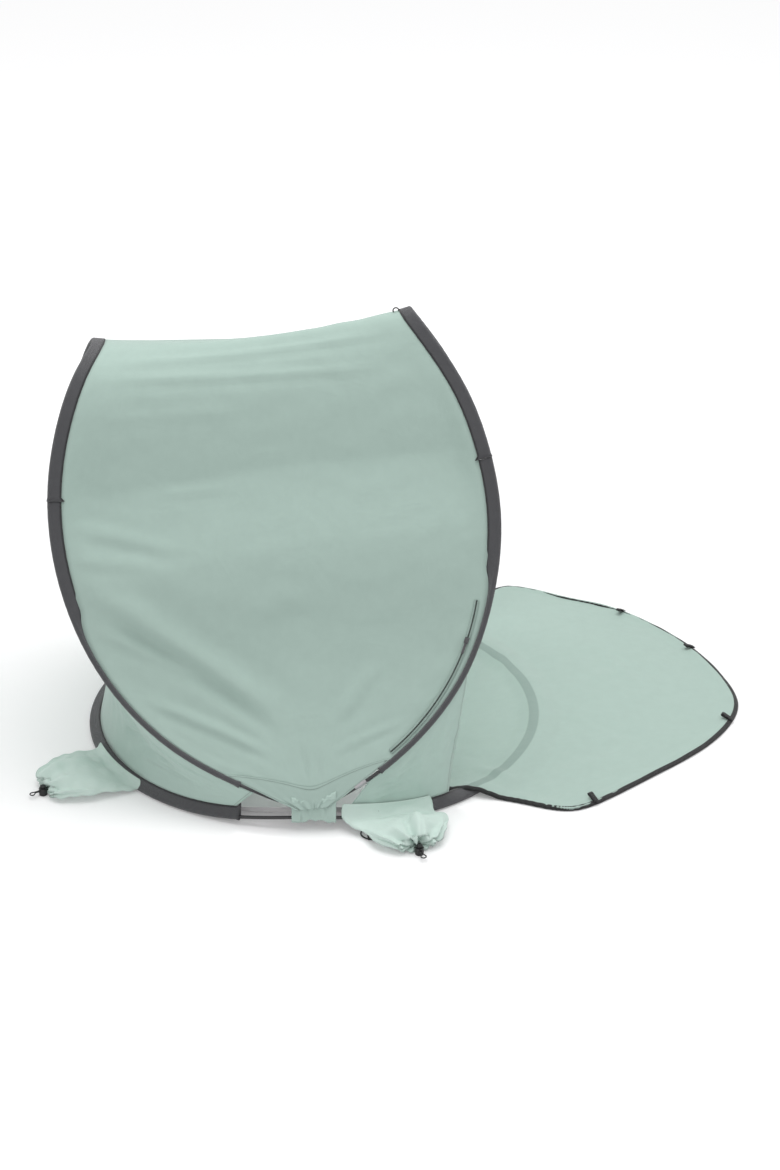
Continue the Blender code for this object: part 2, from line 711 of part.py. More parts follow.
for number, vertex in enumerate(tab_vertices, 1):
    place, along, across = edge_path[vertex], edge_along[vertex], edge_in[vertex]
    across = unit(across - along * np.dot(across, along))
    up = np.cross(along, across)
    line = np.array(tab_line)
    run = line_tangents(line)
    path = place + line[:, :1] * across + line[:, 1:] * up
    normal = -run[:, 1:] * across + run[:, :1] * up
    section = [(-tab_width / 2.0, -tab_webbing / 2.0), (tab_width / 2.0, -tab_webbing / 2.0),
               (tab_width / 2.0, tab_webbing / 2.0), (-tab_width / 2.0, tab_webbing / 2.0)]
    grid = swept_grid(path, np.tile(along, (len(path), 1)), normal, section)
    solid_sweep(f"peg_tab_{number}", grid, black)


weld = 0.00002


def set_pivot(names, point):
    """Give pieces their origin at a point of their joint's axis."""
    for name in names:
        piece = bpy.data.objects[name]
        piece.data.transform(Matrix.Translation([-float(v) for v in point]))
        piece.location = [float(v) for v in point]


set_pivot(["porch_mat", "porch_binding"] + [f"peg_tab_{n}" for n in range(1, len(tab_vertices) + 1)],
          (porch_hinge_x, 0.0, porch_hinge_z))


def placed(local, origin, axes):
    """Local points carried to an origin along three axes."""
    return np.asarray(origin) + np.asarray(local, float) @ np.asarray(axes)


def frame_matrix(origin, axes):
    """The matrix that carries local points to an origin along three axes."""
    turn = Matrix([[float(v) for v in row] for row in np.asarray(axes).T]).to_4x4()
    return Matrix.Translation([float(v) for v in origin]) @ turn


def plate(name, outline, half, origin, axes, colour, roughness, metallic=0.0):
    """A flat outline on the first two axes, thick along the third."""
    curve = bpy.data.curves.new(name, "CURVE")
    curve.dimensions = "2D"
    curve.fill_mode = "BOTH"
    curve.extrude = half
    spline = curve.splines.new("POLY")
    spline.points.add(len(outline) - 1)
    spline.use_cyclic_u = True
    for place, point in zip(spline.points, outline):
        place.co = (*point, 0.0, 1.0)
    draft = bpy.data.objects.new(name + "_outline", curve)
    bm = bmesh.new()
    bm.from_mesh(bpy.data.meshes.new_from_object(draft))
    bpy.data.objects.remove(draft)
    bmesh.ops.remove_doubles(bm, verts=bm.verts, dist=weld)
    bm.transform(frame_matrix(origin, axes))
    return closed_from_bmesh(name, bm, colour, roughness, metallic)


def block(name, low, high, origin, axes):
    """A plain block between two local corners, to cut with."""
    low, high = np.array(low, float), np.array(high, float)
    bm = bmesh.new()
    bmesh.ops.create_cube(bm, size=1.0)
    bm.transform(frame_matrix(placed((low + high) / 2.0, origin, axes), axes)
                 @ Matrix.Diagonal([*(high - low), 1.0]))
    return closed_from_bmesh(name, bm, steel, 0.5)


def turned(name, profile, sides, place, colour, roughness, metallic=0.0):
    """A body turned about +Z at a place. Its profile runs down its outer side."""
    mesh = bpy.data.meshes.new(name)
    mesh.from_pydata([(r, 0.0, h) for r, h in profile],
                     [(i, i + 1) for i in range(len(profile) - 1)], [])
    piece = add_object(name, mesh, colour, roughness, metallic)
    piece.location = [float(v) for v in place]
    spin = piece.modifiers.new("turn", "SCREW")
    spin.steps = spin.render_steps = sides
    spin.use_merge_vertices = True
    spin.merge_threshold = weld
    spin.use_smooth_shade = False
    return piece


def cut(piece, cutter):
    """Take a cutter's volume out of a piece."""
    tent.objects.unlink(cutter)
    cutters.objects.link(cutter)
    cutter.hide_render = True
    cutter.display_type = "WIRE"
    hole = piece.modifiers.new("cut", "BOOLEAN")
    hole.object = cutter
    hole.operation = "DIFFERENCE"
    hole.solver = "EXACT"


def arc_points(centre, radius, first, last, count):
    """Points round an arc, from one angle to another."""
    turn = np.linspace(first, last, count)
    return [(centre[0] + radius * cos(a), centre[1] + radius * sin(a)) for a in turn]


# Zips: a track on each lower front edge of the canopy, set on a circle so that its slider runs
zip_first_share, zip_last_share, zip_rest_share = 0.53, 0.83, 0.60
zip_steps, zip_probes = 12, 60


def zip_circle(points):
    """Centre, radius and axis of the circle through three points."""
    a, b, c = points
    axis = unit(np.cross(b - a, c - a))
    system = np.array([b - a, c - a, axis])
    centre = np.linalg.solve(system, [np.dot(b - a, (a + b) / 2), np.dot(c - a, (a + c) / 2),
                                      np.dot(axis, a)])
    return centre, np.linalg.norm(a - centre), axis


for label, side in (("near", -1), ("far", 1)):
    rows = side * quarter_steps * np.linspace(zip_first_share, zip_last_share, zip_probes)
    at = rows + (len(canopy_grid) - 1) / 2.0
    lines = [np.stack([np.interp(at, np.arange(len(canopy_grid)), canopy_grid[:, column, i])
                       for i in range(3)], 1) for column in (-1, -2)]
    width = unit(lines[1] - lines[0])
    track = lines[0] + width * zip_inset
    normal = unit(np.cross(line_tangents(track), width))
    normal *= np.sign(np.sum(normal * (track - track.mean(0) * np.array([1.0, 0.0, 1.0])), 1,
                             keepdims=True))
    centre, radius, axis = zip_circle(track[[0, zip_probes // 2, -1]])
    start = unit(track[0] - centre)
    onward = np.cross(axis, start)
    sweep = np.arctan2(np.dot(track[-1] - centre, onward), np.dot(track[-1] - centre, start))
    middle = unit(track[zip_probes // 2] - centre)
    across = width[zip_probes // 2]
    across = unit(np.array([np.dot(across, middle), np.dot(across, axis)]))
    out = np.array([-across[1], across[0]])
    facing = normal[zip_probes // 2]
    out *= np.sign(np.dot(out, [np.dot(facing, middle), np.dot(facing, axis)]))

    def zip_frame(angles):
        """Centre line, across and out directions of the track at angles round its circle."""
        ray = np.outer(np.cos(angles), start) + np.outer(np.sin(angles), onward)
        return (centre + ray * radius, across[0] * ray + across[1] * axis,
                out[0] * ray + out[1] * axis)

    path, wide, outer = zip_frame(sweep * np.arange(zip_steps + 1) / zip_steps)
    edges = np.concatenate([path + wide * zip_tape_width / 2, path, path - wide * zip_tape_width / 2])
    nearest = [int(np.argmin(np.linalg.norm(track - p, axis=1))) for p in edges]
    height = np.sum((edges - track[nearest]) * normal[nearest], 1)
    base = cloth / 2.0 + 2 * fit_gap - height.min()
    tape_top = base + zip_tape_thickness
    half, teeth = zip_tape_width / 2.0, zip_teeth_width / 2.0
    teeth_top = tape_top + zip_teeth_height
    section = [(-half, base), (half, base), (half, tape_top), (teeth, tape_top),
               (teeth, teeth_top), (-teeth, teeth_top), (-teeth, tape_top), (-half, tape_top)]
    solid_sweep(f"zip_track_{label}", swept_grid(path, wide, outer, section), black)

    # the slider straddles the teeth, with a seat at its lower end for the pull's barrel
    rest = np.array([sweep * (zip_rest_share - zip_first_share) / (zip_last_share - zip_first_share)])
    ride, over, lift = (v[0] for v in zip_frame(rest))
    run = np.cross(over, lift) * np.sign(np.dot(np.cross(over, lift), onward * sweep))
    axes = np.array([run, lift, over])
    low = tape_top + slider_gap
    seat = pull_pin_radius + pin_gap
    seat_x, seat_y = slider_length / 2.0 - seat, low + slider_height - seat
    top = low + slider_height
    shape = [(-slider_length / 2.0, low), (seat_x + seat * 0.2, low)]
    shape += arc_points((seat_x, seat_y), seat, radians(-80), radians(-230), 6)
    shape += [(seat_x - seat, top + slider_lip), (-slider_length / 2.0 + slider_lip, top)]
    body = plate(f"zip_slider_{label}", shape, slider_width / 2.0, ride, axes, steel, 0.3, 0.9)
    channel = zip_teeth_width / 2.0 + slider_gap
    cut(body, block(f"zip_cutter_{label}", (-slider_length, low - slider_lip, -channel),
                    (slider_length, teeth_top + slider_gap, channel), ride, axes))
    pin = placed((seat_x, seat_y, 0.0), ride, axes)
    tongue = pull_thickness / 2.0
    spread = np.arcsin(tongue / pull_pin_radius)
    shape = arc_points((0.0, 0.0), pull_pin_radius, spread, 2 * pi - spread, 9)
    shape += [(pull_length, -tongue), (pull_length, tongue)]
    plate(f"zip_pull_{label}", shape, pull_width / 2.0, pin, axes, steel, 0.3, 0.9)
    set_pivot([f"zip_slider_{label}"], centre)
    set_pivot([f"zip_pull_{label}"], pin)

# Sand pockets: cloth shells sewn along the hoop, each gathered at a neck by its drawcord
pocket_columns = 14
pocket_half = pocket_width / 2.0
pocket_places = [("near_front", radians(-70.5), 0.86, 0.13), ("near_rear", radians(-148.5), 1.09, 0.0),
                 ("far_front", radians(70.5), 0.86, -0.13), ("far_rear", radians(141), 0.90, 0.0)]
neck_z = 2 * cord_radius + neck_radius + pocket_cloth / 2.0 + 2 * fit_gap
cord_ring = neck_radius + pocket_cloth / 2.0 + 3 * fit_gap + cord_radius
grip_z = lock_floor + spring_height + 2 * fit_gap + lock_web + fit_gap + cord_radius
plunger_low = lock_floor + spring_height + 2 * fit_gap
slot_half_width = cord_spread + cord_radius + lock_gap
lock_sides, coil_points = 16, 8
cord_places = np.arange(32) / 32
coil_turn = 2 * pi * np.arange(coil_points * spring_turns + 1) / coil_points
coil_low = lock_floor + 2 * fit_gap + spring_wire
coil_high = lock_floor + spring_height - spring_wire


def pocket_grid(angle, reach, shift, outward, sideways, foot):
    """Rings of the pocket's cloth from its seam on the hoop to its neck."""
    turn = 2 * pi * (np.arange(pocket_columns) + 0.5) / pocket_columns
    across = np.cos(turn) / cos(pi / pocket_columns)
    upper = np.sign(np.sin(turn))
    hoop_angles = angle + across * pocket_half / (floor_hoop_width / 2.0)
    seam = floor_hoop_point(hoop_angles)
    seam -= floor_frame(hoop_angles)[1] * (sleeve_outer + pocket_cloth / 2.0 + 2 * fit_gap)
    seam_x, seam_y = (seam - foot) @ outward, (seam - foot) @ sideways
    run = reach - lock_radius - mouth_gap - neck_length
    rings = []
    for along, wide, thick in pocket_shares:
        blend, settle = smooth_step(0.0, 0.55, along), smooth_step(0.0, 0.4, along)
        x = seam_x * (1 - blend) + run * along
        y = (seam_y * (1 - blend) + across * pocket_half * (blend + wide - 1.0)
             + shift * smooth_step(0.0, 0.4, along))
        belly = pocket_loft * thick
        lying = (pocket_cloth + pocket_seam + belly) / 2.0 + fit_gap
        middle = np.maximum(seam[:, 2] * (1 - settle) + lying * settle, lying)
        z = middle + upper * (pocket_seam + belly * (1 - np.abs(across) ** 2.2)) / 2.0
        rings.append((x, y, z))
    for x in (run, run + neck_length):
        rings.append((np.full(pocket_columns, x), shift + np.cos(turn) * neck_radius,
                      neck_z + np.sin(turn) * neck_radius))
    ground = foot * np.array([1.0, 1.0, 0.0])
    return np.array([ground + np.outer(x, outward) + np.outer(y, sideways)
                     + np.outer(z, [0.0, 0.0, 1.0]) for x, y, z in rings])


for label, angle, reach_share, shift_share in pocket_places:
    foot = floor_hoop_point(angle)
    along, inward, up = floor_frame(angle)
    outward = -inward
    sideways = unit(along * np.array([1.0, 1.0, 0.0]))
    reach, shift = pocket_length * reach_share, pocket_length * shift_share
    grid = pocket_grid(angle, reach, shift, outward, sideways, foot)
    piece = add_object(f"sand_pocket_{label}", grid_mesh(f"sand_pocket_{label}", grid,
                                                         closed_columns=True, seam_first=True), mint, 0.8)
    add_wall(piece, pocket_cloth)
    base = foot * np.array([1.0, 1.0, 0.0]) + outward * reach + sideways * shift
    axes = np.array([outward, sideways, up])
    ring_x = -(lock_radius + mouth_gap + neck_length / 2.0)
    loop = [(ring_x, cord_ring * sin(a), neck_z + cord_ring * cos(a))
            for a in np.radians([-75, -50, -25, 0, 25, 50, 75])]
    end_x = lock_radius + cord_run
    half = [(ring_x + neck_length / 2.0, cord_ring, neck_z - cord_ring * 0.25),
            (-lock_radius - cord_radius, cord_spread, grip_z), (0.0, cord_spread, grip_z),
            (lock_radius, cord_spread, grip_z), (end_x, cord_spread, grip_z),
            (end_x + cord_eye, cord_eye, grip_z - cord_radius)]
    back = [(x, -y, z) for x, y, z in half[::-1]]
    points = loop + half + [(end_x + 2 * cord_eye, 0.0, grip_z - cord_radius)] + back
    cord_line = smooth_curve(placed(points, base, axes), closed=True)
    cord_line = by_length(np.concatenate([cord_line, cord_line[:1]]), cord_places)
    round_wire(f"drawcord_{label}", cord_line, cord_radius, black, closed=True, roughness=0.8)

    # the cord lock: a cup with a slot, a slotted plunger and the spring below it
    lift = placed((0.0, 0.0, fit_gap), base, axes)
    button = lock_height + plunger_rise
    barrel = turned(f"lock_barrel_{label}",
                    [(0.0, lock_floor), (lock_bore, lock_floor), (lock_bore, lock_height),
                     (lock_radius, lock_height), (lock_radius, 0.0), (0.0, 0.0)],
                    lock_sides, lift, black, 0.5)
    cut(barrel, block(f"slot_cutter_{label}",
                      (-2 * lock_radius, -slot_half_width, grip_z - cord_radius - lock_gap),
                      (2 * lock_radius, slot_half_width, grip_z + cord_radius + lock_gap), base, axes))
    plunger = turned(f"lock_plunger_{label}",
                     [(0.0, button), (plunger_cap_radius, button),
                      (plunger_cap_radius, button - plunger_cap), (plunger_radius, button - plunger_cap),
                      (plunger_radius, plunger_low), (0.0, plunger_low)],
                     lock_sides, lift, black, 0.5)
    cut(plunger, block(f"plunger_cutter_{label}",
                       (-2 * plunger_radius, -slot_half_width, grip_z - cord_radius - fit_gap),
                       (2 * plunger_radius, slot_half_width,
                        grip_z + cord_radius + press_travel + lock_gap), base, axes))
    spiral = np.stack([spring_radius * np.cos(coil_turn), spring_radius * np.sin(coil_turn),
                       coil_low + (coil_high - coil_low) * coil_turn / coil_turn[-1]], 1)
    round_wire(f"lock_spring_{label}", placed(spiral, lift, axes), spring_wire, steel,
               roughness=0.3, metallic=0.9, fineness=1)
    set_pivot([f"lock_spring_{label}"], lift)

apart = np.linalg.norm(spiral[:, None] - spiral[None], axis=2)
apart[np.abs(np.subtract.outer(np.arange(len(spiral)), np.arange(len(spiral)))) < coil_points // 2] = 1.0
print("least gap between a lock spring's turns, mm:", round(1000 * (apart.min() - 2 * spring_wire), 3))

# Peg cords: an elastic loop with a knot, sewn to the outer side of each front pocket
peg_shares = [(0.440, -0.326, 0.086), (0.405, -0.352, 0.050), (0.352, -0.382, 0.021),
              (0.300, -0.420, 0.015), (0.220, -0.453, 0.015), (0.150, -0.440, 0.015),
              (0.112, -0.400, 0.015), (0.120, -0.366, 0.015), (0.170, -0.356, 0.015),
              (0.230, -0.368, 0.015), (0.296, -0.385, 0.018)]
peg_points, knot_place, knot_share = 19, 4, 1.9
for label, angle in (("near", pocket_places[0][1]), ("far", pocket_places[2][1])):
    foot = floor_hoop_point(angle) * np.array([1.0, 1.0, 0.0])
    along, inward, up = floor_frame(angle)
    aside = unit(along * np.array([1.0, 1.0, 0.0])) * (-1.0 if angle > 0 else 1.0)
    axes = np.array([-inward, aside, up])
    line = smooth_curve(placed(np.array(peg_shares) * pocket_length, foot, axes))
    line = by_length(line, np.arange(peg_points) / (peg_points - 1))
    sizes = [knot_share if i == knot_place else 1.0 for i in range(len(line))]
    round_wire(f"peg_cord_{label}", line, peg_cord_radius, black, roughness=0.8, swell=sizes)

# Apex loop: a small hanging loop sewn on the ridge behind the front sleeve
apex_inset_share = 1.4
ridge = canopy_grid[len(canopy_grid) // 2]
back = unit(ridge[-2] - ridge[-1])
rise = np.array([-back[2], 0.0, back[0]])
rise = rise * np.sign(rise[2])
apex_base = ridge[-1] + back * apex_loop_half * apex_inset_share + rise * (cloth / 2.0 + fit_gap)
apex_shares = [(-1.0, 0.0), (-1.0, 0.45), (-0.6, 0.85), (0.0, 1.0), (0.6, 0.85), (1.0, 0.45), (1.0, 0.0)]
apex_line = [apex_base + back * x * apex_loop_half + rise * y * apex_loop_rise
             for x, y in apex_shares]
round_wire("apex_loop", smooth_curve(apex_line, fine=2), apex_cord_radius, black, roughness=0.8)
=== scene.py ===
"""The looks of a pop-up beach tent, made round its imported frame.

Metres, +Z up, +X out of the entrance. The sections follow the tent as it is put
together: studio, cords and locks, hoops, sleeves, canopy, tails and wraps, walls,
floor, porch mat, zips, sand pockets and apex loop.
"""
from math import cos, pi, radians, sin
import bpy
import numpy as np
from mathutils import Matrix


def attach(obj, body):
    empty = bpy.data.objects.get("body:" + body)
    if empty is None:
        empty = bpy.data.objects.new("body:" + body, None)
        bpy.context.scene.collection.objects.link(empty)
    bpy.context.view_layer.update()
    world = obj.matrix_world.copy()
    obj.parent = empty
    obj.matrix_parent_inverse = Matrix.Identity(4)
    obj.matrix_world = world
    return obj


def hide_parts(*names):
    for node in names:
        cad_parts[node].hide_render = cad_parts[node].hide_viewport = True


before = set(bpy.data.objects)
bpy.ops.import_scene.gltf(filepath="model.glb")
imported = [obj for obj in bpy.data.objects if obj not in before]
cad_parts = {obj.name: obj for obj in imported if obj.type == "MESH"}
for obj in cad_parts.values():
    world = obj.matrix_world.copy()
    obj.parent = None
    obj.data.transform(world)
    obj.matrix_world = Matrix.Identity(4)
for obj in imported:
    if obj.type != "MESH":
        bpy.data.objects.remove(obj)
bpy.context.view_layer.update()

# Studio: a white sweep, lit brighter away from the tent, under a large soft overhead light.
# A weak fill stands beside the camera, and a lamp inside the tent stands for the daylight
# that comes through the thin cloth. The camera looks 27 degrees down on the tent's side.
camera_place = (0.16125, -4.68552, 2.69867)
camera_pitch = radians(27.0)
camera_lens = 77.28
world_level = 0.66
overhead_watts, overhead_size = 92.0, 3.4
fill_watts, fill_size = 8.0, 2.6
inside_watts, inside_size = 1.3, 0.20
sweep_colour = (0.86, 0.86, 0.865)
sweep_half = 9.0
sweep_drop = 0.0006
glow_near, glow_far, glow_start, glow_end = 0.17, 0.36, 0.75, 2.2


def placed(name, data):
    """A new object of the scene, with this data."""
    thing = bpy.data.objects.new(name, data)
    bpy.context.scene.collection.objects.link(thing)
    return thing


camera_data = bpy.data.cameras.new("camera")
camera_data.lens = camera_lens
camera_data.sensor_width = 36.0
camera = placed("camera", camera_data)
camera.location = camera_place
camera.rotation_euler = (pi / 2 - camera_pitch, 0.0, 0.0)
bpy.context.scene.camera = camera
bpy.context.scene.view_settings.view_transform = "Standard"


def softbox(name, place, aim, watts, size):
    """A square area light at a place, turned so that it shines at a point."""
    lamp = bpy.data.lights.new(name, "AREA")
    lamp.energy, lamp.size = watts, size
    box = placed(name, lamp)
    box.location = place
    way = np.array(aim, float) - np.array(place, float)
    box.rotation_euler = (np.arctan2(np.hypot(way[0], way[1]), -way[2]), 0.0,
                          np.arctan2(-way[0], way[1]))
    box.visible_camera = False


softbox("overhead", (0.4, 0.25, 4.0), (0.2, 0.0, 0.0), overhead_watts, overhead_size)
softbox("fill", (-2.4, -3.6, 2.2), (0.0, 0.0, 0.4), fill_watts, fill_size)
softbox("inside", (0.0, 0.02, 0.50), (0.06, 0.0, 0.0), inside_watts, inside_size)


def maths(tree, operation, first, second=None, third=None, clamp=False):
    """A Math node on sockets or numbers; returns its output socket."""
    node = tree.nodes.new("ShaderNodeMath")
    node.operation, node.use_clamp = operation, clamp
    for i, value in enumerate((first, second, third)):
        if isinstance(value, (int, float)):
            node.inputs[i].default_value = value
        elif value is not None:
            tree.links.new(value, node.inputs[i])
    return node.outputs[0]


def ranged(tree, value, low, high, start=0.0, end=1.0, kind="LINEAR"):
    """A Map Range node: the value from start to end becomes low to high."""
    node = tree.nodes.new("ShaderNodeMapRange")
    node.interpolation_type = kind
    for label, number in (("From Min", start), ("From Max", end), ("To Min", low), ("To Max", high)):
        node.inputs[label].default_value = number
    tree.links.new(value, node.inputs["Value"])
    return node.outputs["Result"]


def plain_look(name, colour, roughness, metallic=0.0, specular=0.5, sheen=0.0):
    """A Principled material of one colour."""
    look = bpy.data.materials.new(name)
    look.use_nodes = True
    inputs = shader_of(look).inputs
    for label, value in (("Base Color", (*colour, 1.0)), ("Roughness", roughness),
                         ("Metallic", metallic), ("Specular IOR Level", specular),
                         ("Sheen Weight", sheen)):
        inputs[label].default_value = value
    return look


def shader_of(look):
    """A material's Principled shader."""
    return look.node_tree.nodes["Principled BSDF"]


def object_place(look):
    """Object coordinates in a material."""
    return look.node_tree.nodes.new("ShaderNodeTexCoord").outputs["Object"]


world = bpy.data.worlds.new("studio")
bpy.context.scene.world = world
world.use_nodes = True
tree = world.node_tree
rays = tree.nodes.new("ShaderNodeLightPath").outputs
seen = maths(tree, "MAXIMUM", rays["Is Camera Ray"], rays["Is Glossy Ray"])
tree.links.new(ranged(tree, seen, world_level, 1.0), tree.nodes["Background"].inputs["Strength"])
tree.nodes["Background"].inputs["Color"].default_value = (1.0, 1.0, 1.0, 1.0)

sweep_mesh = bpy.data.meshes.new("sweep")
sweep_mesh.from_pydata([(x * sweep_half, y * sweep_half, -sweep_drop)
                        for x, y in ((-1, -1), (1, -1), (1, 1), (-1, 1))], [], [(0, 1, 2, 3)])
sweep = placed("sweep", sweep_mesh)
sweep_look = plain_look("white_sweep", sweep_colour, 0.95, specular=0.0)
tree, shader = sweep_look.node_tree, shader_of(sweep_look)
shader.inputs["Emission Color"].default_value = (1.0, 1.0, 1.0, 1.0)
away = tree.nodes.new("ShaderNodeVectorMath")
away.operation = "LENGTH"
tree.links.new(object_place(sweep_look), away.inputs[0])
spread = ranged(tree, away.outputs["Value"], glow_near, glow_far, glow_start, glow_end, "SMOOTHSTEP")
rays = tree.nodes.new("ShaderNodeLightPath").outputs
tree.links.new(maths(tree, "MULTIPLY", rays["Is Camera Ray"], spread),
               shader.inputs["Emission Strength"])
sweep_mesh.materials.append(sweep_look)

# Cords: one thin black elastic runs through each sand pocket's hem and its cord lock, and
# a short elastic peg loop with a knot is sewn to each front pocket. Braided polyester.
cord_colour = (0.014, 0.014, 0.015)
floor_hoop_length, floor_hoop_width = 0.952, 0.916
pocket_width, pocket_length = 0.185, 0.150
neck_radius, neck_length, mouth_gap, pocket_cloth = 0.0085, 0.008, 0.007, 0.0010
drawcord_radius, cord_spread, cord_run, cord_eye = 0.00125, 0.0021, 0.010, 0.0052
lock_radius, lock_floor, lock_web, spring_height, fit_gap = 0.0085, 0.0020, 0.0012, 0.0046, 0.0003
peg_cord_radius = 0.0016
knot_radius, knot_place, knot_lift = 0.0030, 0.22, 0.0008
rod_radius, rod_gap = 0.0035, 0.0005
sleeve_wall, sleeve_ease, cloth = 0.001, 0.0002, 0.0012
hoop_lift, lift_power = 0.022, 16
sleeve_mid = (rod_radius + rod_gap + sleeve_ease + sleeve_wall / 2.0) / cos(radians(22.5))
sleeve_outer = sleeve_mid + sleeve_wall / 2.0
pockets = [("near_front", radians(-70.5), 0.86, 0.13), ("near_rear", radians(-148.5), 1.09, 0.0),
           ("far_front", radians(70.5), 0.86, -0.13), ("far_rear", radians(141), 0.90, 0.0)]


def unit(v):
    """Vectors divided by their own length."""
    v = np.asarray(v, float)
    return v / np.linalg.norm(v, axis=-1, keepdims=True)


def smooth_step(low, high, x):
    """0 at low and before, 1 at high and after, 3t^2 - 2t^3 between; low may be above high."""
    t = np.clip((np.asarray(x, float) - low) / (high - low), 0.0, 1.0)
    return t * t * (3.0 - 2.0 * t)


def smooth_line(points, closed=False, fine=24):
    """A cubic spline through points: the tangents make its bending continuous, and each
    span is p(1+2t)(1-t)^2 + q t^2(3-2t) + chord (m t(1-t)^2 - n t^2(1-t))."""
    points = np.asarray(points, float)
    last = points if closed else points[:-1]
    chord = np.linalg.norm(np.roll(points, -1, 0) - points, axis=1)[:, None]
    if not closed:
        chord[-1] = 1.0
    before, eye = np.roll(chord, 1, 0), np.eye(len(points))
    system = 2 * (before + chord) * eye + chord * np.roll(eye, -1, 1) + before * np.roll(eye, 1, 1)
    right = 3 * (chord * (points - np.roll(points, 1, 0)) / before
                 + before * (np.roll(points, -1, 0) - points) / chord)
    if not closed:
        system[0], system[-1] = 2 * eye[0] + eye[1], 2 * eye[-1] + eye[-2]
        right[0] = 3 * (points[1] - points[0]) / chord[0]
        right[-1] = 3 * (points[-1] - points[-2]) / chord[-2]
    tangent = np.linalg.solve(system, right)
    t = (np.arange(fine) / fine)[None, :, None]
    p, q = points[:, None], np.roll(points, -1, 0)[:, None]
    m, n, span = tangent[:, None], np.roll(tangent, -1, 0)[:, None], chord[:, :, None]
    spans = (p * (1 + 2 * t) * (1 - t) ** 2 + q * t * t * (3 - 2 * t)
             + span * (m * t * (1 - t) ** 2 - n * t * t * (1 - t)))[:len(last)]
    line = spans.reshape(-1, points.shape[1])
    return line if closed else np.concatenate([line, points[-1:]])


def run_along(line):
    """The length walked along a polyline to each of its points."""
    return np.concatenate([[0.0], np.cumsum(np.linalg.norm(np.diff(line, axis=0), axis=1))])


def by_length(line, places):
    """Points at shares of a polyline's own length."""
    run = run_along(line)
    at = np.asarray(places, float) * run[-1]
    return np.stack([np.interp(at, run, line[:, i]) for i in range(line.shape[1])], 1)


def floor_hoop(angle):
    """The floor hoop's centre line: an ellipse on the ground, lifted by hoop_lift times
    |sin|^16 where the canopy hoop crosses it."""
    angle = np.asarray(angle, float)
    return np.stack([floor_hoop_length / 2 * np.cos(angle), floor_hoop_width / 2 * np.sin(angle),
                     sleeve_outer + hoop_lift * np.abs(np.sin(angle)) ** lift_power], -1)


def hoop_inward(angle, step=2 * pi / 64):
    """The level direction from the floor hoop towards the middle."""
    along = unit(floor_hoop(angle + step / 2) - floor_hoop(angle - step / 2))
    up = np.zeros_like(along)
    up[..., 2] = 1.0
    return unit(np.cross(up, along)), along


def effect(name, inputs, outputs):
    """A shader node group of number sockets, with a vector input where the value is None:
    (group, the sockets it is given, the sockets it gives)."""
    group = bpy.data.node_groups.new(name, "ShaderNodeTree")
    for label, value in inputs.items():
        kind = "NodeSocketVector" if value is None else "NodeSocketFloat"
        socket = group.interface.new_socket(label, in_out="INPUT", socket_type=kind)
        if value is not None:
            socket.default_value = value
    for label in outputs:
        group.interface.new_socket(label, in_out="OUTPUT", socket_type="NodeSocketFloat")
    return group, group.nodes.new("NodeGroupInput").outputs, group.nodes.new("NodeGroupOutput").inputs


def feed(tree, node, **values):
    """Set a node's named inputs to numbers, or link sockets to them."""
    for label, value in values.items():
        if isinstance(value, (int, float)):
            node.inputs[label].default_value = value
        else:
            tree.links.new(value, node.inputs[label])
    return node


def noise(tree, place, scale, detail=2.0, distortion=0.0):
    """A noise texture's value at a place."""
    return feed(tree, tree.nodes.new("ShaderNodeTexNoise"), Vector=place, Scale=scale, Detail=detail,
                Distortion=distortion).outputs["Fac"]


# woven threads: two sine waves at right angles, u and v in metres, thread apart
weave, given, gives = effect("weave", {"Place": None, "Thread": 0.0006, "Slant": 0.0},
                             ("Height", "Thickness"))
split = weave.nodes.new("ShaderNodeSeparateXYZ")
weave.links.new(given["Place"], split.inputs[0])
turns = maths(weave, "DIVIDE", 2 * pi, given["Thread"])
slanted = maths(weave, "MULTIPLY_ADD", split.outputs["Y"], given["Slant"], split.outputs["X"])
warp = maths(weave, "SINE", maths(weave, "MULTIPLY", slanted, turns))
weft = maths(weave, "SINE", maths(weave, "MULTIPLY", split.outputs["Y"], turns))
weave.links.new(maths(weave, "MULTIPLY", warp, weft), gives["Height"])
weave.links.new(noise(weave, given["Place"], 60.0), gives["Thickness"])

# creases: folds left from packing, as two sizes of stretched noise
creases, given, gives = effect("creases", {"Place": None, "Size": 9.0}, ("Height", "Tone"))
large = noise(creases, given["Place"], given["Size"], detail=3.0, distortion=0.6)
folded = maths(creases, "ABSOLUTE", maths(creases, "SUBTRACT", large, 0.5))
creases.links.new(maths(creases, "SUBTRACT", 1.0, folded), gives["Height"])
creases.links.new(noise(creases, given["Place"], 34.0), gives["Tone"])


def place_effect(look, group, **values):
    """One use of a node group in a material, with its numbers or linked sockets."""
    node = look.node_tree.nodes.new("ShaderNodeGroup")
    node.node_tree = group
    return feed(look.node_tree, node, **values).outputs


def raise_bump(look, height, distance):
    """A Bump node on the shader's normal, chained after the one that is there."""
    tree, normal = look.node_tree, shader_of(look).inputs["Normal"]
    bump = feed(tree, tree.nodes.new("ShaderNodeBump"), Strength=1.0, Distance=distance, Height=height)
    if normal.is_linked:
        tree.links.new(normal.links[0].from_socket, bump.inputs["Normal"])
    tree.links.new(bump.outputs["Normal"], normal)


def tint(look, mask, colour, darker):
    """Mix the base colour with a darker tone of itself where the mask is high."""
    tree = look.node_tree
    mix = tree.nodes.new("ShaderNodeMixRGB")
    mix.inputs["Color1"].default_value = (*colour, 1.0)
    mix.inputs["Color2"].default_value = (*[c * darker for c in colour], 1.0)
    tree.links.new(mask, mix.inputs["Fac"])
    tree.links.new(mix.outputs["Color"], shader_of(look).inputs["Base Color"])


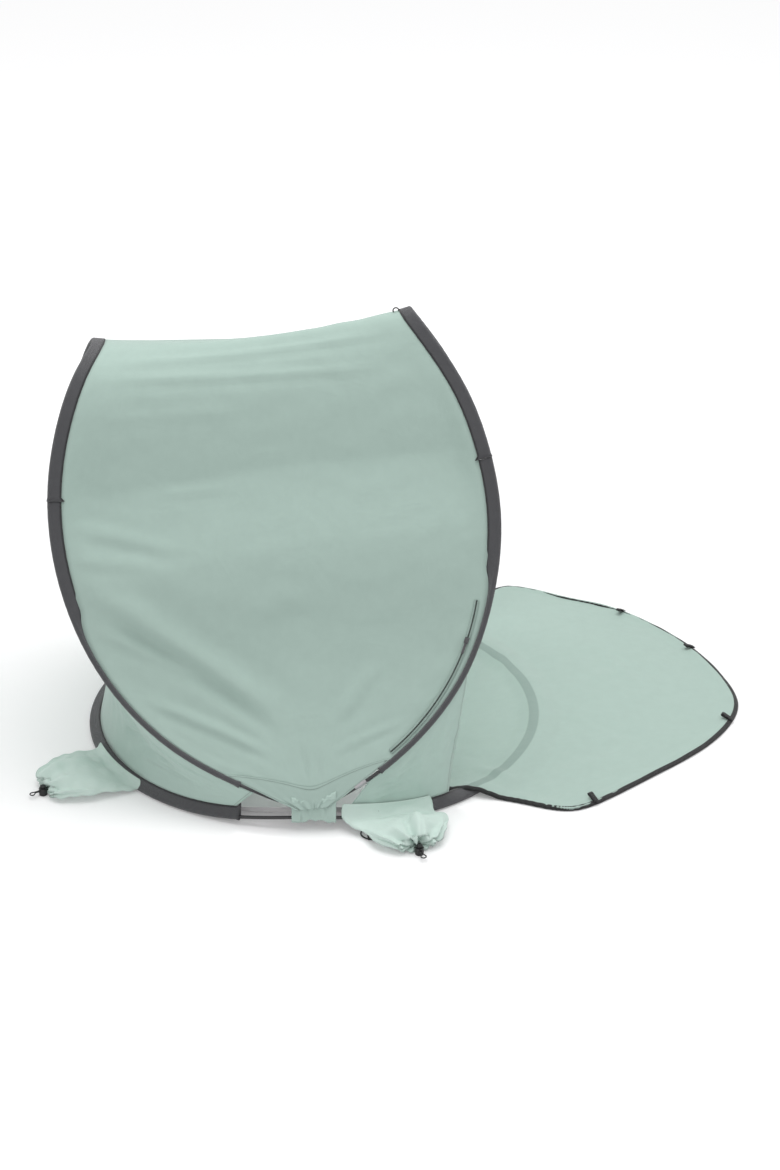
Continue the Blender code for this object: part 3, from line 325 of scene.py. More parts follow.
def worn_look(name, colour, roughness, worn, darker, size, relief=0.0, **values):
    """A plain look with an uneven tone between a worn colour and a darker one, and a fine
    relief, both from the creases' noise."""
    look = plain_look(name, colour, roughness, **values)
    marks = place_effect(look, creases, Place=object_place(look), Size=size)
    if relief:
        raise_bump(look, marks["Height"], relief)
    tint(look, marks["Tone"], worn, darker)
    return look


cord_look = plain_look("braided_elastic", cord_colour, 0.75, specular=0.3, sheen=0.2)
braid = place_effect(cord_look, weave, Place=object_place(cord_look), Thread=0.0009, Slant=0.8)
raise_bump(cord_look, braid["Height"], 0.0002)
tint(cord_look, braid["Thickness"], cord_colour, 0.6)


def tube(name, points, radius, look, closed=False):
    """A round cord or rod: a poly curve with a round bevel, from points in metres."""
    curve = bpy.data.curves.new(name, "CURVE")
    curve.dimensions = "3D"
    curve.bevel_depth, curve.bevel_resolution = radius, 4
    curve.use_fill_caps = not closed
    spline = curve.splines.new("POLY")
    spline.points.add(len(points) - 1)
    spline.use_cyclic_u = closed
    flat = np.concatenate([points, np.ones((len(points), 1))], 1)
    spline.points.foreach_set("co", flat.astype(np.float32).ravel())
    curve.materials.append(look)
    return placed(name, curve)


def fit(piece, slot, *nodes, body="tent"):
    """Fix a piece to its body, in place of the frame's solids. The slot is not used."""
    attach(piece, body)
    if nodes:
        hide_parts(*nodes)
    return piece


grip_z = lock_floor + spring_height + 2 * fit_gap + lock_web + fit_gap + drawcord_radius
neck_z = 2 * drawcord_radius + neck_radius + pocket_cloth / 2 + 2 * fit_gap
cord_ring = neck_radius + pocket_cloth / 2 + 3 * fit_gap + drawcord_radius
ring_x = -(lock_radius + mouth_gap + neck_length / 2)
end_x = lock_radius + cord_run
ring_turn = np.radians([0, 25, 50, 75])
over_neck = np.stack([np.full(4, ring_x), cord_ring * np.sin(ring_turn),
                      neck_z + cord_ring * np.cos(ring_turn)], 1)
to_eye = np.array([(ring_x + neck_length / 2, cord_ring, neck_z - cord_ring * 0.25),
                   (-lock_radius - drawcord_radius, cord_spread, grip_z), (0.0, cord_spread, grip_z),
                   (lock_radius, cord_spread, grip_z), (end_x, cord_spread, grip_z),
                   (end_x + cord_eye, cord_eye, grip_z - drawcord_radius)])
one_side = np.concatenate([over_neck, to_eye])
eye_end = np.array([(end_x + 2 * cord_eye, 0.0, grip_z - drawcord_radius)])
cord_route = np.concatenate([one_side, eye_end, one_side[::-1] * [1.0, -1.0, 1.0]])
for label, angle, reach, shift in pockets:
    foot = floor_hoop(angle) * [1.0, 1.0, 0.0]
    inward, along = hoop_inward(angle)
    sideways = unit(along * [1.0, 1.0, 0.0])
    base = foot - inward * pocket_length * reach + sideways * pocket_length * shift
    axes = np.array([-inward, sideways, [0.0, 0.0, 1.0]])
    line = smooth_line(base + cord_route @ axes, fine=8)
    drawcord = fit(tube(f"elastic_{label}", line, drawcord_radius, cord_look), "cord",
                   f"drawcord_{label}")

peg_route = np.array([(0.440, -0.326, 0.086), (0.405, -0.352, 0.050), (0.352, -0.382, 0.021),
                      (0.300, -0.420, 0.015), (0.220, -0.453, 0.015), (0.150, -0.440, 0.015),
                      (0.112, -0.400, 0.015), (0.120, -0.366, 0.015), (0.170, -0.356, 0.015),
                      (0.230, -0.368, 0.015), (0.296, -0.385, 0.018)]) * pocket_length


def knot_mesh(name, centre, size, strand, look):
    """A small overhand knot: a strand carried round a trefoil, x = sin t + 2 sin 2t,
    y = cos t - 2 cos 2t, z = -sin 3t, scaled to the knot's size."""
    t = 2 * pi * np.arange(72) / 72
    trefoil = np.stack([np.sin(t) + 2 * np.sin(2 * t), np.cos(t) - 2 * np.cos(2 * t),
                        -np.sin(3 * t)], 1)
    return tube(name, centre + trefoil * size / 4.2, strand, look, closed=True)


for label, angle in (("near", pockets[0][1]), ("far", pockets[2][1])):
    foot = floor_hoop(angle) * [1.0, 1.0, 0.0]
    inward, along = hoop_inward(angle)
    aside = unit(along * [1.0, 1.0, 0.0]) * (-1.0 if angle > 0 else 1.0)
    line = smooth_line(foot + peg_route @ np.array([-inward, aside, [0.0, 0.0, 1.0]]), fine=8)
    peg_cord = fit(tube(f"peg_elastic_{label}", line, peg_cord_radius, cord_look), "cord",
                   f"peg_cord_{label}")
    knot = fit(knot_mesh(f"peg_knot_{label}", by_length(line, [knot_place])[0] + [0, 0, knot_lift],
                         knot_radius, peg_cord_radius * 0.8, cord_look), "cord")

# Cord locks: a moulded cup with a sprung plunger, glossy black nylon with a fine grain.
# The frame's own solids are kept and get softened edges.
lock_look = plain_look("moulded_nylon", (0.016, 0.016, 0.017), 0.38)
where = object_place(lock_look)
raise_bump(lock_look, noise(lock_look.node_tree, where, 2600.0), 0.00008)
scuffs = place_effect(lock_look, creases, Place=where, Size=420.0)
tint(lock_look, scuffs["Tone"], (0.020, 0.020, 0.021), 0.7)
steel_look = worn_look("brushed_steel", (0.42, 0.42, 0.43), 0.42, (0.46, 0.46, 0.47), 0.62, 900.0,
                       relief=0.00005, metallic=1.0)


def keep_node(name, look, edge):
    """Keep a solid of the frame: its own corners welded and rounded, with a new look."""
    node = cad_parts[name]
    join = node.modifiers.new("join", "WELD")
    join.merge_threshold = 0.00001
    if edge:
        soften = node.modifiers.new("soften", "BEVEL")
        soften.width, soften.segments = edge, 2
        soften.limit_method, soften.angle_limit = "ANGLE", radians(40)
    node.data.materials.clear()
    node.data.materials.append(look)


for label, *_ in pockets:
    keep_node(f"lock_barrel_{label}", lock_look, 0.0005)
    keep_node(f"lock_plunger_{label}", lock_look, 0.0004)
    keep_node(f"lock_spring_{label}", steel_look, 0.0)

# Spring hoops: two continuous fibreglass rods, black with a satin resin skin. The canopy
# hoop stands on the floor hoop at both crossings. Steel ferrules join each rod's ends.
hoop_shares = np.array([
    # along the floor hoop, across it, up the height: rear top, near side, front top
    (-0.454, 0.000, 0.915), (-0.479, -0.096, 0.888), (-0.515, -0.169, 0.789),
    (-0.534, -0.224, 0.640), (-0.502, -0.295, 0.443), (-0.420, -0.362, 0.286),
    (-0.275, -0.434, 0.157), (-0.110, -0.483, 0.084), (0.011, -0.494, 0.056),
    (0.100, -0.483, 0.095), (0.221, -0.433, 0.182), (0.321, -0.369, 0.303),
    (0.375, -0.303, 0.441), (0.393, -0.222, 0.629), (0.360, -0.161, 0.780),
    (0.284, -0.080, 0.920), (0.210, 0.000, 1.000),
])
tuck_shares = np.array([0.0, 0.27, 0.22, 0.0, 0.0, 0.0, 0.0, 0.0, 0.0, 0.0, 0.0, 0.0,
                        -0.27, -0.80, -1.0, -0.78, 0.0])
canopy_height, far_tuck = 0.925, 0.045
half_rows = 120
span_points = 24

near_half = hoop_shares * [floor_hoop_length, floor_hoop_width, canopy_height]
far_half = near_half * [1.0, -1.0, 1.0]
far_half[:, 0] += far_tuck * tuck_shares
hoop = smooth_line(np.concatenate([near_half, far_half[-2:0:-1]]), closed=True, fine=span_points)
hoop = np.concatenate([hoop, hoop[:1]])
bottom, top = 8 * span_points, 16 * span_points
row_steps = np.arange(half_rows + 1) / half_rows


def both_sides(near_arc, far_arc):
    """Rows of one hoop line from the near crossing over the top to the far crossing."""
    return np.concatenate([by_length(near_arc, row_steps), by_length(far_arc, row_steps)[-2::-1]])


rear_line = both_sides(hoop[bottom::-1], hoop[top + bottom:])
front_line = both_sides(hoop[bottom:top + 1], hoop[top + bottom:top - 1:-1])
rod_look = worn_look("fibreglass_rod", (0.030, 0.030, 0.033), 0.34, (0.034, 0.034, 0.037), 0.6, 300.0,
                     relief=0.0001, specular=0.55)
loop = np.concatenate([rear_line[half_rows:0:-1], front_line[:-1], rear_line[:half_rows:-1]])
floor_line = floor_hoop(2 * pi * np.arange(256) / 256)
for name, line in (("canopy", loop), ("floor", floor_line)):
    fit(tube(f"{name}_rod", line, rod_radius, rod_look, closed=True), "rod", f"{name}_hoop_rod")
    keep_node(f"{name}_hoop_ferrule", steel_look, 0.0)

# Hoop sleeves: charcoal polyester folded round each rod and sewn along its tail, with a
# turned hem where one sleeve laps the next. A slightly open weave with a soft sheen.
sleeve_tail, sleeve_tail_half = 0.0215, 0.0013
sleeve_joint_share, sleeve_end_share = 0.29, 0.875
twist_start, twist_end, twist_angle = 0.42, 0.62, radians(75)
cuff_gap, cuff_length, cuff_proud, pucker_depth = 0.0006, 0.008, 0.0016, 0.00022
tail_root, tail_root_half, tail_tip, tail_tip_half = 0.0065, 0.0041, 0.0006, 0.0002
sleeve_colour = (0.096, 0.097, 0.104)
row_share = np.abs(np.arange(2 * half_rows + 1) - half_rows) / half_rows
middle_line = (rear_line + front_line) / 2
sleeve_turn = twist_angle * smooth_step(twist_start, twist_end, row_share)


def tangent(line):
    """The way along a line at each of its points."""
    return unit(np.gradient(line, axis=0))


def part_rows(line, rows):
    """A line's points at row numbers that may fall between two rows."""
    return np.stack([np.interp(rows, np.arange(len(line)), line[:, i])
                     for i in range(line.shape[1])], 1)


def edge_frame(line, middle):
    """Along, into the panel and into the tent, for each row of a hoop line: into points
    at the panel's middle line 0.7 as far from the ridge, and the rest are cross products."""
    along = tangent(line)
    half = len(line) // 2
    rows = half + (np.arange(len(line)) - half) * 0.7
    into = part_rows(middle, rows) - line
    into = unit(into - along * np.sum(into * along, 1, keepdims=True))
    inner = np.cross(along, into)
    inner *= np.sign(np.sum(inner * ([0.0, 0.0, canopy_height / 2] - line), 1, keepdims=True))
    return along, into, unit(inner)


def surface(name, grid, look, closed=False, marks=None):
    """Quads between neighbouring points of a grid (rows, columns, 3), with a UV map in
    metres along the rows and columns, and one float attribute for each named mark."""
    rows, columns = grid.shape[:2]
    index = np.arange(rows * columns).reshape(rows, columns)
    here = index if closed else index[:, :-1]
    beside = np.roll(index, -1, 1) if closed else index[:, 1:]
    quads = np.stack([here[:-1], here[1:], beside[1:], beside[:-1]], -1).reshape(-1, 4)
    mesh = bpy.data.meshes.new(name)
    mesh.from_pydata(grid.reshape(-1, 3).tolist(), [], quads.tolist())
    steps = np.linalg.norm(np.diff(grid, axis=0), axis=2).mean(1)
    ring = np.roll(grid, -1, 1) if closed else grid[:, 1:]
    sides = np.linalg.norm(ring - (grid if closed else grid[:, :-1]), axis=2).mean(0)
    u, v = (np.concatenate([[0.0], np.cumsum(s)]) for s in (steps, sides))
    i, j = np.indices(here[:-1].shape)
    corners = np.stack([np.stack([u[i], v[j]], -1), np.stack([u[i + 1], v[j]], -1),
                        np.stack([u[i + 1], v[j + 1]], -1), np.stack([u[i], v[j + 1]], -1)], 2)
    mesh.uv_layers.new(name="cloth").data.foreach_set("uv", corners.astype(np.float32).ravel())
    for label, values in (marks or {}).items():
        mark = mesh.attributes.new(label, "FLOAT", "POINT")
        mark.data.foreach_set("value", values.astype(np.float32).ravel())
    mesh.shade_smooth()
    mesh.materials.append(look)
    return placed(name, mesh)


def capped(name, grid, look):
    """A closed sweep with both ends drawn in to their middles and joined there. Where its
    rings turn the wrong way, by the sum of their area vectors along the path, they are
    reversed, so that its faces point outwards."""
    ring = grid - grid.mean(1, keepdims=True)
    turning = np.cross(ring, np.roll(ring, -1, 1)).sum(1) * np.gradient(grid.mean(1), axis=0)
    if turning.sum() > 0:
        grid = grid[:, ::-1]
    ends = [np.repeat(ring.mean(0, keepdims=True), len(ring), 0)[None]
            for ring in (grid[0], grid[-1])]
    piece = surface(name, np.concatenate([ends[0], grid, ends[1]]), look, closed=True)
    piece.modifiers.new("join", "WELD").merge_threshold = 0.000002
    return piece


def thicken(piece, wall, even=True):
    """Give a sheet its own thickness, with closed rims."""
    solid = piece.modifiers.new("wall", "SOLIDIFY")
    solid.thickness, solid.offset, solid.use_even_offset = wall, 0.0, even
    return piece


def mark_value(look, label):
    """The value of one of a mesh's own marks, in a material."""
    node = look.node_tree.nodes.new("ShaderNodeAttribute")
    node.attribute_name = label
    return node.outputs["Fac"]


def fabric(name, colour, thread, weave_height, crease_height, crease_size, roughness, sheen,
           darker=0.9):
    """A woven cloth: threads and packing creases as bumps, and a faint uneven tone."""
    look = plain_look(name, colour, roughness, specular=0.25, sheen=sheen)
    tree = look.node_tree
    shader_of(look).inputs["Sheen Roughness"].default_value = 0.45
    flat = tree.nodes.new("ShaderNodeUVMap").outputs["UV"]
    threads = place_effect(look, weave, Place=flat, Thread=thread)
    packed = place_effect(look, creases, Place=object_place(look), Size=crease_size)
    raise_bump(look, packed["Height"], crease_height)
    raise_bump(look, threads["Height"], weave_height)
    tone = maths(tree, "ADD", maths(tree, "MULTIPLY", packed["Tone"], 0.5),
                 maths(tree, "MULTIPLY", threads["Thickness"], 0.5))
    tint(look, tone, [c * 1.05 for c in colour], darker)
    return look


def darken(look, mask, share, colour):
    """Multiply the base colour by another, by a share of the mask."""
    tree, base = look.node_tree, shader_of(look).inputs["Base Color"]
    mix = tree.nodes.new("ShaderNodeMixRGB")
    mix.blend_type = "MULTIPLY"
    mix.inputs["Color2"].default_value = (*colour, 1.0)
    tree.links.new(maths(tree, "MULTIPLY", mask, share), mix.inputs["Fac"])
    tree.links.new(base.links[0].from_socket, mix.inputs["Color1"])
    tree.links.new(mix.outputs["Color"], base)


sleeve_look = fabric("sleeve_cloth", sleeve_colour, 0.0011, 0.00025, 0.0012, 40.0, 0.62, 0.35,
                     darker=0.72)
# painted shade: the sleeve's colour is made nearly black towards its sewn tail, where the canopy meets
# it
painted_tail_shade = maths(sleeve_look.node_tree, "MULTIPLY_ADD", mark_value(sleeve_look, "tail"), 7.0, -5.5,
                  clamp=True)
darken(sleeve_look, painted_tail_shade, 0.9, (0.12, 0.12, 0.12))
# the sleeve's section: half a round behind the rod, then straight sides to the sewn tail
round_turn = np.linspace(radians(180), radians(64), 11)
upper_side = np.concatenate([
    np.stack([np.cos(round_turn), np.sin(round_turn)], 1) * sleeve_mid,
    np.stack([np.linspace(tail_root, sleeve_tail - tail_tip, 6),
              np.linspace(tail_root_half, sleeve_tail_half + tail_tip_half, 6)], 1)])
sleeve_section = np.concatenate([upper_side, [(sleeve_tail, 0.0)],
                                 upper_side[:0:-1] * [1.0, -1.0]])


def swept(path, side, up, section, swell=1.0):
    """A section's points carried along a path: path + side x + up y, times a swell."""
    wide = section[None] * np.asarray(swell, float).reshape(-1, 1, 1)
    return path[:, None] + wide[..., :1] * side[:, None] + wide[..., 1:] * up[:, None]


def sleeve_piece(name, path, side, up, node, hem_first, hem_last):
    """A sleeve along a path, puckered a little, and swollen by a turned hem at its ends."""
    run = run_along(path)
    hem = (hem_first * (1 - smooth_step(cuff_length * 0.8, cuff_length, run))
           + hem_last * smooth_step(run[-1] - cuff_length, run[-1] - cuff_length * 0.8, run))
    grid = swept(path, side, up, sleeve_section, 1.0 + hem * cuff_proud / sleeve_mid)
    lengthwise, round_it = np.meshgrid(run, np.arange(len(sleeve_section)), indexing="ij")
    pucker = (np.sin(lengthwise * 310 + np.sin(lengthwise * 47) * 3)
              * np.sin(round_it * 0.7 + lengthwise * 23))
    off = unit(grid - path[:, None])
    grid += off * (pucker_depth * (1 + pucker))[..., None]
    seam = np.clip(sleeve_section[:, 0] / sleeve_tail, 0.0, 1.0)[None] + 0 * lengthwise
    piece = thicken(surface(name, grid, sleeve_look, closed=True, marks={"tail": seam}),
                    sleeve_wall * 0.8)
    fit(piece, "sleeve_cloth", node)


frames = {"rear": (rear_line, edge_frame(rear_line, middle_line)),
          "front": (front_line, edge_frame(front_line, middle_line))}
joint_rows, end_rows = sleeve_joint_share * half_rows, sleeve_end_share * half_rows
cuff_rows = cuff_gap / np.linalg.norm(rear_line[1] - rear_line[0])
for end, (line, (along, into, inner)) in frames.items():
    tail = into * np.cos(sleeve_turn)[:, None] + inner * np.sin(sleeve_turn)[:, None]
    across = unit(np.cross(along, tail))
    for name, first, last, hems in (
            (f"sleeve_{end}_top", half_rows - joint_rows, half_rows + joint_rows, (1, 1)),
            (f"sleeve_near_{end}", half_rows - end_rows, half_rows - joint_rows - cuff_rows, (1, 0)),
            (f"sleeve_far_{end}", half_rows + joint_rows + cuff_rows, half_rows + end_rows, (0, 1))):
        rows = np.concatenate([[first], np.arange(np.floor(first) + 1, np.ceil(last)), [last]])
        sleeve_piece(name + "_cloth", part_rows(line, rows), unit(part_rows(tail, rows)),
                     unit(part_rows(across, rows)), name, *hems)

# Floor sleeves: the same charcoal cloth round the floor hoop, open at the crossings. The
# walls and the groundsheet are sewn into the tails, which stand up along the walls, lean
# inwards at the back and lie flat below the mat.
bare_angle = 3 * 2 * pi / 64
tail_up, tail_flat_from, tail_up_from = radians(70), radians(44), radians(56)
tail_back, tail_side_to, tail_back_from = radians(34), radians(125), radians(165)


def floor_tail(turn):
    """The way from the floor hoop to its sleeve's sewn edge, leaning by the angle from the
    front, and the way along the hoop."""
    inward, along = hoop_inward(turn)
    from_front = np.abs(np.arctan2(np.sin(turn), np.cos(turn)))
    lean = (tail_up * smooth_step(tail_flat_from, tail_up_from, from_front)
            - (tail_up - tail_back) * smooth_step(tail_side_to, tail_back_from, from_front))[:, None]
    return inward * np.cos(lean) + np.array([0.0, 0.0, 1.0]) * np.sin(lean), along


floor_turn = np.linspace(-pi / 2 + bare_angle, pi / 2 - bare_angle, 150)
for end, turn in (("front", floor_turn), ("rear", floor_turn + pi)):
    tail, along = floor_tail(turn)
    sleeve_piece(f"floor_sleeve_{end}_cloth", floor_hoop(turn), tail, unit(np.cross(along, tail)),
                 f"floor_sleeve_{end}", 1, 1)

# Canopy: one sheet of mint polyester drawn between both lobes of the canopy hoop. It is
# sewn into the sleeves' tails and sags between them, with long tension folds below the
# ridge, and a turned, stitched hem hangs over each crossing.
mint = (0.398, 0.519, 0.468)
canopy_reach, canopy_columns, hem_rows = 102, 64, 9
ridge_sag, wall_sag, hem_dip = 0.021, 0.012, 0.046
band_left, band_right, band_depth = 0.298, 0.268, 0.021
band_shape = ((0.28, 0.42, 1.00, 1.12, 1.55), (0.0, 0.10, 1.00, 0.80, 0.0))
edge_clear = sleeve_outer + 3 * fit_gap
sleeve_reach = sleeve_tail + sleeve_wall / 2 + 4 * fit_gap
canopy_wall = 0.0008
ripple_depth, edge_ripple_depth, band_wave = 0.0009, 0.0008, 0.005
stitch_length, stitch_depth, stitch_sharp, hem_width = 0.0032, 0.0006, 900.0, 0.0025
canopy_folds = [
    # metres from the ridge and share across, start and end, then width and depth
    (-0.050, 0.00, -0.030, 1.02, 0.008, 0.0032), (-0.078, 0.00, -0.100, 0.90, 0.009, 0.0028),
    (-0.150, 0.03, -0.160, 0.50, 0.012, 0.0014), (-0.305, 0.22, -0.312, 0.42, 0.010, 0.0022),
    (-0.480, -0.30, -0.480, 1.30, 0.120, 0.0110),
    (-0.345, 0.00, -0.430, 0.30, 0.013, 0.0040), (-0.415, 0.00, -0.445, 0.22, 0.014, 0.0034),
    (-0.455, 0.02, -0.790, 0.46, 0.024, 0.0085), (-0.500, 0.03, -0.830, 0.42, 0.016, -0.0055),
    (-0.550, 0.03, -0.690, 0.26, 0.012, 0.0050), (-0.700, 0.04, -0.850, 0.34, 0.013, 0.0055),
    (-0.680, 0.74, -0.800, 0.62, 0.016, 0.0046), (-0.520, 0.55, -0.560, 0.40, 0.030, 0.0035),
    (-0.800, 0.92, -0.860, 0.60, 0.010, 0.0030), (-0.820, 0.50, -0.900, 0.50, 0.007, 0.0026),
    (-0.830, 0.56, -0.890, 0.58, 0.006, 0.0020), (-0.360, 0.93, -0.460, 0.84, 0.008, 0.0016),
    (-0.385, 0.90, -0.470, 0.80, 0.007, 0.0014), (-0.560, 1.00, -0.700, 0.93, 0.008, 0.0020),
    (0.050, 0.00, 0.030, 1.02, 0.008, 0.0032), (0.085, 0.00, 0.110, 0.90, 0.009, 0.0028),
    (0.150, 0.03, 0.160, 0.80, 0.012, 0.0016), (0.350, 0.00, 0.430, 0.30, 0.013, 0.0040),
    (0.480, -0.30, 0.480, 1.30, 0.120, 0.0100),
    (0.470, 0.02, 0.770, 0.46, 0.022, 0.0070), (0.560, 0.03, 0.700, 0.26, 0.012, 0.0045),
    (0.680, 0.76, 0.800, 0.60, 0.016, 0.0044), (0.820, 0.50, 0.900, 0.48, 0.007, 0.0024),
]


def folds(u, v, table):
    """Heights of soft straight folds at places (u, v): each runs from one place to another,
    depth (1 - x^2) exp(-x^2 / 2) across it, x in widths, fading in and out along it."""
    height = np.zeros(np.broadcast(u, v).shape)
    for u0, v0, u1, v1, width, depth in table:
        du, dv = u1 - u0, v1 - v0
        long = np.hypot(du, dv)
        t = ((u - u0) * du + (v - v0) * dv) / long ** 2
        x = ((u - u0) * dv - (v - v0) * du) / long / width
        fade = smooth_step(0.0, 0.3, t) * (1 - smooth_step(0.7, 1.0, t))
        height += depth * fade * (1 - x * x) * np.exp(-x * x / 2)
    return height


def crumple(u, v, size, seed, waves=9):
    """Uneven wrinkles from -1 to 1: a mean of sine waves in seeded directions, each bent by
    a slower wave across it, with lengths from 0.6 to 1.8 times a size."""
    dice = np.random.default_rng(seed)
    total = np.zeros(np.broadcast(u, v).shape)
    for turn, phase, bend, stretch in dice.random((waves, 4)):
        a, b = cos(pi * turn), sin(pi * turn)
        length = size * (0.6 + 1.2 * stretch)
        across, beside = u * a + v * b, v * a - u * b
        bent = 2.2 * np.sin(beside / length * 2 + 7 * bend)
        total += np.sin(2 * pi * (across / length + phase) + bent)
    return total / waves * 1.8


def hem_marks(grid, sides):
    """Marks for stitching: distance in metres from the nearest of the sewn borders (first or
    last row, left or right column) and the run along it."""
    rows = np.linalg.norm(np.diff(grid, axis=0, prepend=grid[:1]), axis=2).cumsum(0)
    columns = np.linalg.norm(np.diff(grid, axis=1, prepend=grid[:, :1]), axis=2).cumsum(1)
    fields = {"first": (rows, columns), "last": (rows[-1:] - rows, columns),
              "left": (columns, rows), "right": (columns[:, -1:] - columns, rows)}
    chosen = np.array([fields[side] for side in sides])
    nearest = chosen[:, 0].argmin(0)[None]
    return {"edge": np.take_along_axis(chosen[:, 0], nearest, 0)[0],
            "along": np.take_along_axis(chosen[:, 1], nearest, 0)[0]}


stitches, given, gives = effect("stitches", {"Edge": 1.0, "Along": 0.0, "At": 0.006},
                                ("Line", "Height", "Fold"))
off = maths(stitches, "ABSOLUTE", maths(stitches, "SUBTRACT", given["Edge"], given["At"]))
seam_line = maths(stitches, "SUBTRACT", 1.0, maths(stitches, "MULTIPLY", off, stitch_sharp),
                  clamp=True)
dashes = maths(stitches, "SINE", maths(stitches, "MULTIPLY", given["Along"], 2 * pi / stitch_length))
dashes = maths(stitches, "MULTIPLY", seam_line, maths(stitches, "MULTIPLY_ADD", dashes, 0.5, 0.5))
inside = maths(stitches, "LESS_THAN", given["Edge"], maths(stitches, "ADD", given["At"], hem_width))
stitches.links.new(seam_line, gives["Line"])
stitches.links.new(maths(stitches, "MULTIPLY", dashes, -1.0), gives["Height"])
stitches.links.new(inside, gives["Fold"])


def hemmed(name, colour, thread=0.0008, weave_height=0.00003, crease_height=0.004, crease_size=7.0,
           roughness=0.72, sheen=0.25):
    """A fabric whose marked borders show a turned hem and its line of stitches."""
    look = fabric(name, colour, thread, weave_height, crease_height, crease_size, roughness, sheen)
    sewn = place_effect(look, stitches, Edge=mark_value(look, "edge"), Along=mark_value(look, "along"))
    raise_bump(look, sewn["Fold"], stitch_depth)
    raise_bump(look, sewn["Height"], stitch_depth)
    darken(look, sewn["Line"], 0.75, (0.42, 0.42, 0.42))
    return look


def cloth_piece(name, grid, look, node, sewn=(), marks=None, closed=False, even=True, slot="cloth",
                body="tent"):
    """A sheet in place of a solid, with a hem and stitches along its sewn borders."""
    piece = surface(name, grid, look, closed, marks or hem_marks(grid, sewn))
    return fit(thicken(piece, canopy_wall, even), slot, node, body=body)


def canopy_sheet(rear, front, columns, tuck):
    """Rows of points from the rear lobe to the front one: straight lines, bowed into the
    tent by sag sin(pi t), the sag easing from the ridge's to the wall's and to nothing."""
    half = len(rear) // 2
    share = np.abs(np.arange(len(rear)) - half) / half
    turn = twist_angle * smooth_step(twist_start, twist_end, share)
    inset = np.clip(edge_clear / np.maximum(np.sin(turn), edge_clear / sleeve_reach),
                    edge_clear, sleeve_reach) - tuck * (0.15 + 0.85 * np.cos(turn))
    middle = (rear + front) / 2
    (_, rear_into, rear_inner), (_, front_into, front_inner) = (edge_frame(rear, middle),
                                                                edge_frame(front, middle))
    rear = rear + rear_into * inset[:, None]
    front = front + front_into * inset[:, None]
    sag = ridge_sag + (wall_sag - ridge_sag) * smooth_step(0.0, 0.5, share)
    sag *= 1.0 - smooth_step(0.5, 1.0, share)
    t = np.linspace(0.0, 1.0, columns + 1)[None, :, None]
    inner = unit(rear_inner + front_inner)[:, None]
    sheet = rear[:, None] * (1 - t) + front[:, None] * t
    return sheet + inner * sag[:, None, None] * np.sin(pi * t), inner


canopy_grid, canopy_inner = canopy_sheet(rear_line, front_line, canopy_columns, 0.0042)
canopy_rows = slice(half_rows - canopy_reach, half_rows + canopy_reach + 1)
canopy_grid, canopy_inner = canopy_grid[canopy_rows], canopy_inner[canopy_rows]
dip = np.sin(pi * np.linspace(0.0, 1.0, canopy_columns + 1))[None, :, None] * hem_dip
ease = ((1 - np.arange(hem_rows) / hem_rows) ** 1.4)[:, None, None]
for rim, step in ((0, 1), (-1, -1)):
    fall = unit(canopy_grid[rim] - canopy_grid[rim + step])[None]
    rows = slice(0, hem_rows) if step > 0 else slice(-1, -hem_rows - 1, -1)
    canopy_grid[rows] += fall * dip * ease
from_ridge = run_along(canopy_grid[:, canopy_columns // 2])
from_ridge = (from_ridge - from_ridge[canopy_reach])[:, None]
across = np.linspace(0.0, 1.0, canopy_columns + 1)[None]
free = smooth_step(0.0, 0.06, across) * smooth_step(1.0, 0.94, across)
lift = folds(from_ridge, across * 0.6, [(a, b * 0.6, c, d * 0.6, w, h)
                                       for a, b, c, d, w, h in canopy_folds])
band_foot = band_left + (band_right - band_left) * across + band_wave * np.sin(8 * across + 0.6)
lift = lift - band_depth * np.interp(np.abs(from_ridge) / band_foot, *band_shape)
lift = lift + ripple_depth * crumple(from_ridge, across * 0.7, 0.085, 3)
left_edge = smooth_step(0.30, 0.02, across) * smooth_step(0.10, 0.25, np.abs(from_ridge))
lift = lift + edge_ripple_depth * crumple(from_ridge * 1.4, across * 0.5, 0.022, 4) * left_edge
canopy_grid -= canopy_inner * (lift * free)[..., None]
canopy = cloth_piece("canopy_cloth", canopy_grid[:, ::-1], hemmed("mint_cloth", mint), "canopy",
                     sewn=("first", "last"))

